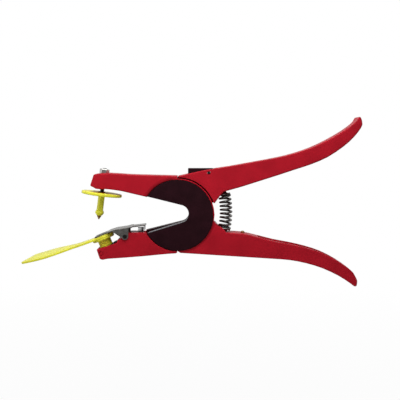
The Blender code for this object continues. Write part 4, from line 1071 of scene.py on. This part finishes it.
class APPLICATOR_OT_male_tag(bpy.types.Operator):
    """Make the male tag's button, stud and metal point"""

    bl_idname = "applicator.male_tag"
    bl_label = "Male Tag"

    def execute(self, context):
        place = jaw_line(PIN_LEAN)
        top, shoulder = along_line("male_tag", place)
        base, point = along_line("male_tag_tip", place)
        shoulder += STUD_DRAW
        point += STUD_DRAW
        floor = shoulder - STUD_BORE_FLOOR
        bore = [(STUD_BORE_RADIUS, top), (STUD_BORE_RADIUS, floor), (0.0, floor)]
        profile = raised(HEAD_PROFILE, shoulder) + raised(BUTTON_PROFILE, top) + bore
        edge = context.scene.applicator_sizes.small_edge
        made = turned("male_tag_finish", profile, place, BUTTON_SIDES, edge)
        dressed(made, "yellow_tag", "upper_half", "male_tag")
        low = shoulder + TIP_GAP
        profile = [
            (0.0, point), (TIP_END_RADIUS, point - TIP_END_DEPTH), (TIP_RADIUS, low + TIP_RIM),
            (TIP_RADIUS, low), (TIP_SHANK_RADIUS, low), (TIP_SHANK_RADIUS, base), (0.0, base),
        ]
        tip = turned("male_tag_tip_finish", profile, place, PIN_SIDES)
        dressed(tip, "brass", "upper_half", "male_tag_tip")
        return {"FINISHED"}


class APPLICATOR_OT_female_tag(bpy.types.Operator):
    """Make the female tag: a leaf-shaped flag, a button and a ribbed neck"""

    bl_idname = "applicator.female_tag"
    bl_label = "Female Tag"

    def execute(self, context):
        sizes = context.scene.applicator_sizes
        place = jaw_line(TAG_LEAN)
        flag = female_flag(sizes.tag_edge)
        flag.data.transform(place)
        low = FLAG_TOP + BUTTON_SINK
        high = FLAG_TOP + FLAG_THICKNESS + BUTTON_STAND
        shoulder = BUTTON_RADIUS - BUTTON_CORNER
        neck = NECK_RADIUS - NECK_SINK
        profile = [
            (TAG_BORE_RADIUS, low), (shoulder, low), (BUTTON_RADIUS, low + BUTTON_TOP_CORNER),
            (BUTTON_RADIUS, high - BUTTON_END_CORNER), (shoulder, high), (neck, high), (neck, NECK_END),
            (TAG_BORE_RADIUS, NECK_END),
        ]
        collar = turned("tag_collar", profile, place, COLLAR_SIDES, sizes.small_edge)
        start, end = TAG_BORE_CUT
        cut = [(0.0, start), (TAG_BORE_RADIUS, start), (TAG_BORE_RADIUS, end), (0.0, end)]
        flag = bored(flag, turned("tag_bore", cut, place, COLLAR_SIDES))
        pitch = (NECK_END - high) / RIB_COUNT
        ribs = ring_row("tag_ribs", place, high + pitch * 0.5, RIB_COUNT, pitch, NECK_RADIUS - RIB_SINK,
                        RIB_CREST, "yellow_tag")
        made = merged("female_tag_finish", [flag, collar, ribs])
        dressed(made, "yellow_tag", "lower_half", "female_tag")
        return {"FINISHED"}


def female_flag(edge):
    """The flag alone, in the female tag's own place: turned, cut in strips, thickened and bent."""
    other_side = tuple((along, -wide) for along, wide in FLAG_SIDE[::-1])
    outline = eased(FLAG_SIDE + other_side, FLAG_CORNER, FLAG_CORNER_STEPS)
    work = bmesh.new()
    corners = []
    for along, wide in outline:
        forward = -along * math.cos(FLAG_TURN) + wide * math.sin(FLAG_TURN)
        across = along * math.sin(FLAG_TURN) + wide * math.cos(FLAG_TURN)
        corners.append(work.verts.new((forward, -across, FLAG_TOP)))
    work.faces.new(corners)
    for strip in range(1, FLAG_STRIPS):
        everything = list(work.verts) + list(work.edges) + list(work.faces)
        bmesh.ops.bisect_plane(work, geom=everything, plane_co=(-FLAG_LENGTH * strip / FLAG_STRIPS, 0.0, 0.0),
                               plane_no=(1.0, 0.0, 0.0), dist=WELD)
    lifted = bmesh.ops.extrude_face_region(work, geom=list(work.faces))
    for item in lifted["geom"]:
        if isinstance(item, bmesh.types.BMVert):
            item.co.z += FLAG_THICKNESS
    for vert in work.verts:
        share = max(0.0, -vert.co.x - BUTTON_RADIUS) / FLAG_LENGTH
        twist = FLAG_TWIST * math.sin(math.pi * share) * (vert.co.y - FLAG_HALF)
        vert.co.z += twist - FLAG_BEND * share ** 2
    bmesh.ops.recalc_face_normals(work, faces=work.faces)
    made = worked("tag_flag", work)
    bevel = made.modifiers.new("edge", "BEVEL")
    bevel.width = edge
    bevel.segments = SMALL_SEGMENTS
    bevel.limit_method = "ANGLE"
    bevel.angle_limit = FLAG_EDGE_ANGLE
    return settled(made)


class APPLICATOR_OT_tag_clip(bpy.types.Operator):
    """Round the pressed sheet clip, its ears and thumb tab, and its pivot pin"""

    bl_idname = "applicator.tag_clip"
    bl_label = "Tag Clip"

    def execute(self, context):
        edge = context.scene.applicator_sizes.small_edge
        rounded("tag_clip", edge, "clip_sheet", "clip")
        rounded("clip_pivot_pin", edge, "dark_steel", "lower_half")
        return {"FINISHED"}


def wound(tree, node, centre, turns, close_turns, radius, wire, bow, points):
    """A spring wound up inside a CAD spring's height, round the upright line through its centre."""
    low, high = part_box(node)
    made = grown(node + "_finish", tree, {
        "Turns": turns, "Close Turns": close_turns, "Radius": radius, "Wire": wire,
        "Height": high.z - low.z, "Bow": bow, "Start": (centre, 0.0, low.z),
        "Points": points, "Material": finish_of("spring_wire"),
    })
    return dressed(made, "bright_steel", "lower_half", node, finish="spring_wire")


class APPLICATOR_OT_springs(bpy.types.Operator):
    """Wind the return spring and the clip spring, and finish the spring's studs"""

    bl_idname = "applicator.springs"
    bl_label = "Springs"

    def execute(self, context):
        sizes = context.scene.applicator_sizes
        tree = wound_wire_tree()
        stud_low, stud_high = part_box("lower_spring_stud")
        centre = (stud_low.x + stud_high.x) * 0.5
        spring = wound(tree, "return_spring", centre, sizes.spring_turns, SPRING_CLOSE_TURNS, SPRING_RADIUS,
                       sizes.spring_wire, sizes.spring_bow, SPRING_POINTS)
        low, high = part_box("return_spring")
        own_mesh(spring)
        low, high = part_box("clip_spring")
        centre = (low.x + high.x) * 0.5
        small = wound(tree, "clip_spring", centre, sizes.clip_spring_turns, CLIP_SPRING_CLOSE_TURNS,
                      CLIP_SPRING_RADIUS, CLIP_SPRING_WIRE, 0.0, CLIP_SPRING_POINTS)
        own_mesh(small)
        rounded("lower_spring_stud", sizes.small_edge, "dark_steel", "upper_half")
        rounded("upper_spring_stud", sizes.small_edge, "dark_steel", "lower_half")
        return {"FINISHED"}


class APPLICATOR_OT_catch(bpy.types.Operator):
    """Round the black catch and its cross pin"""

    bl_idname = "applicator.catch"
    bl_label = "Catch"

    def execute(self, context):
        sizes = context.scene.applicator_sizes
        rounded("catch_lever", sizes.cover_edge, "black_cover", "catch")
        rounded("latch_pivot_pin", sizes.small_edge, "dark_steel", "lower_half")
        return {"FINISHED"}


def ray(tree, kind):
    """Whether the ray that is being traced is of a kind."""
    return added(tree, "ShaderNodeLightPath", {}, kind)


def pale_floor_material():
    """A pale floor that the camera sees as white, with the shadow kept."""
    material, tree, shader, spot = shader_tree("pale floor")
    drift = tinted(tree, grain(tree, spot, 8.0), FLOOR_DARK, FLOOR_LIGHT)
    tree.links.new(drift, shader.inputs["Base Color"])
    shader.inputs["Roughness"].default_value = 0.8
    away = added(tree, "ShaderNodeVectorMath", {0: spot}, "Value", operation="LENGTH")
    white = spread(tree, away, FLOOR_GLOW, 1.0, *FLOOR_FADE)
    share = Calculator(tree).product(ray(tree, "Is Camera Ray"), white)
    glow = added(tree, "ShaderNodeEmission", {"Color": WHITE, "Strength": 1.0})
    mix = added(tree, "ShaderNodeMixShader", {"Fac": share, 1: shader.outputs["BSDF"], 2: glow})
    tree.links.new(mix, tree.nodes["Material Output"].inputs["Surface"])
    return material


def white_world(strength):
    """Even light on the object, and white where the camera or a gloss sees past it."""
    world = bpy.data.worlds.new("white studio")
    bpy.context.scene.world = world
    world.use_nodes = True
    tree = world.node_tree
    calc = Calculator(tree)
    _, y, z = parts(tree, added(tree, "ShaderNodeTexCoord", {}, "Generated"))
    beyond = spread(tree, calc.total(y, z), 0.0, 1.0, *GLOSS_BAND)
    glossy = calc.product(beyond, ray(tree, "Is Glossy Ray"))
    seen = calc.step("MAXIMUM", ray(tree, "Is Camera Ray"), ray(tree, "Is Transmission Ray"))
    even = added(tree, "ShaderNodeBackground", {"Color": WHITE, "Strength": strength})
    white = added(tree, "ShaderNodeBackground", {"Color": WHITE, "Strength": 1.0})
    mix = added(tree, "ShaderNodeMixShader", {"Fac": calc.step("MAXIMUM", seen, glossy), 1: even, 2: white})
    tree.links.new(mix, tree.nodes["World Output"].inputs["Surface"])


def soft_lamp(name, spot, target, size, power):
    """A square area lamp that points at the object."""
    lamp = bpy.data.lights.new(name, "AREA")
    lamp.shape = "SQUARE"
    lamp.size = size
    lamp.energy = power
    made = linked(name, lamp)
    made.location = spot
    made.rotation_mode = "QUATERNION"
    made.rotation_quaternion = (Vector(target) - Vector(spot)).to_track_quat("-Z", "Y")
    made.visible_camera = False
    return made


class APPLICATOR_OT_stage(bpy.types.Operator):
    """Set the floor, lamps, white surroundings and camera"""

    bl_idname = "applicator.stage"
    bl_label = "Stage"

    def execute(self, context):
        scene = context.scene
        stage = scene.applicator_stage
        aim = Vector(stage.aim)
        top = -stage.floor_drop
        base = top - FLOOR_DEPTH
        profile = [(0.0, top), (FLOOR_RADIUS, top), (FLOOR_RADIUS, base), (0.0, base)]
        floor = turned("floor", profile, Matrix.Identity(4), FLOOR_SIDES)
        floor.data.materials.append(pale_floor_material())
        key = soft_lamp("key lamp", KEY_SPOT, aim, KEY_SIZE, stage.key_power)
        front = soft_lamp("front lamp", FRONT_SPOT, aim, LOW_LAMP_SIZE, stage.front_power)
        side = soft_lamp("side lamp", SIDE_SPOT, SIDE_TARGET, LOW_LAMP_SIZE, stage.side_power)
        white_world(EVEN_LIGHT)
        lens = bpy.data.cameras.new("camera")
        lens.lens_unit = "FOV"
        lens.angle = stage.camera_angle
        camera = linked("camera", lens)
        back = Vector((0.0, -math.cos(stage.camera_height), math.sin(stage.camera_height)))
        camera.location = aim + back * stage.camera_distance
        camera.rotation_mode = "QUATERNION"
        camera.rotation_quaternion = (-back).to_track_quat("-Z", "Y")
        scene.camera = camera
        scene.view_settings.view_transform = "Standard"
        return {"FINISHED"}


OPERATORS = (
    APPLICATOR_OT_castings,
    APPLICATOR_OT_hub_covers,
    APPLICATOR_OT_hidden_hub,
    APPLICATOR_OT_applicator_pin,
    APPLICATOR_OT_male_tag,
    APPLICATOR_OT_female_tag,
    APPLICATOR_OT_tag_clip,
    APPLICATOR_OT_springs,
    APPLICATOR_OT_catch,
    APPLICATOR_OT_stage,
)
GROUPS = (
    ("applicator_sizes", ApplicatorSizes),
    ("applicator_colours", ApplicatorColours),
    ("applicator_stage", ApplicatorStage),
)


class APPLICATOR_PT_panel(bpy.types.Panel):
    """Lists the applicator's sizes, colours and pieces."""

    bl_label = "Ear Tag Applicator"
    bl_idname = "APPLICATOR_PT_panel"
    bl_space_type = "VIEW_3D"
    bl_region_type = "UI"
    bl_category = "Applicator"

    def draw(self, context):
        layout = self.layout
        for attribute, group in GROUPS:
            box = layout.box()
            for label in group.__annotations__:
                box.prop(getattr(context.scene, attribute), label)
        for operator in OPERATORS:
            layout.operator(operator.bl_idname)


def register():
    """Registers the classes and hangs the settings on the scene."""
    for attribute, group in GROUPS:
        bpy.utils.register_class(group)
        setattr(bpy.types.Scene, attribute, PointerProperty(type=group))
    for operator in OPERATORS:
        bpy.utils.register_class(operator)
    bpy.utils.register_class(APPLICATOR_PT_panel)


def unregister():
    """Takes everything that register added away again."""
    bpy.utils.unregister_class(APPLICATOR_PT_panel)
    for operator in reversed(OPERATORS):
        bpy.utils.unregister_class(operator)
    for attribute, group in reversed(GROUPS):
        delattr(bpy.types.Scene, attribute)
        bpy.utils.unregister_class(group)


def main():
    """Makes every piece in order."""
    register()
    bpy.ops.applicator.castings()
    bpy.ops.applicator.hub_covers()
    bpy.ops.applicator.hidden_hub()
    bpy.ops.applicator.applicator_pin()
    bpy.ops.applicator.male_tag()
    bpy.ops.applicator.female_tag()
    bpy.ops.applicator.tag_clip()
    bpy.ops.applicator.springs()
    bpy.ops.applicator.catch()
    bpy.ops.applicator.stage()


if __name__ == "__main__":
    main()
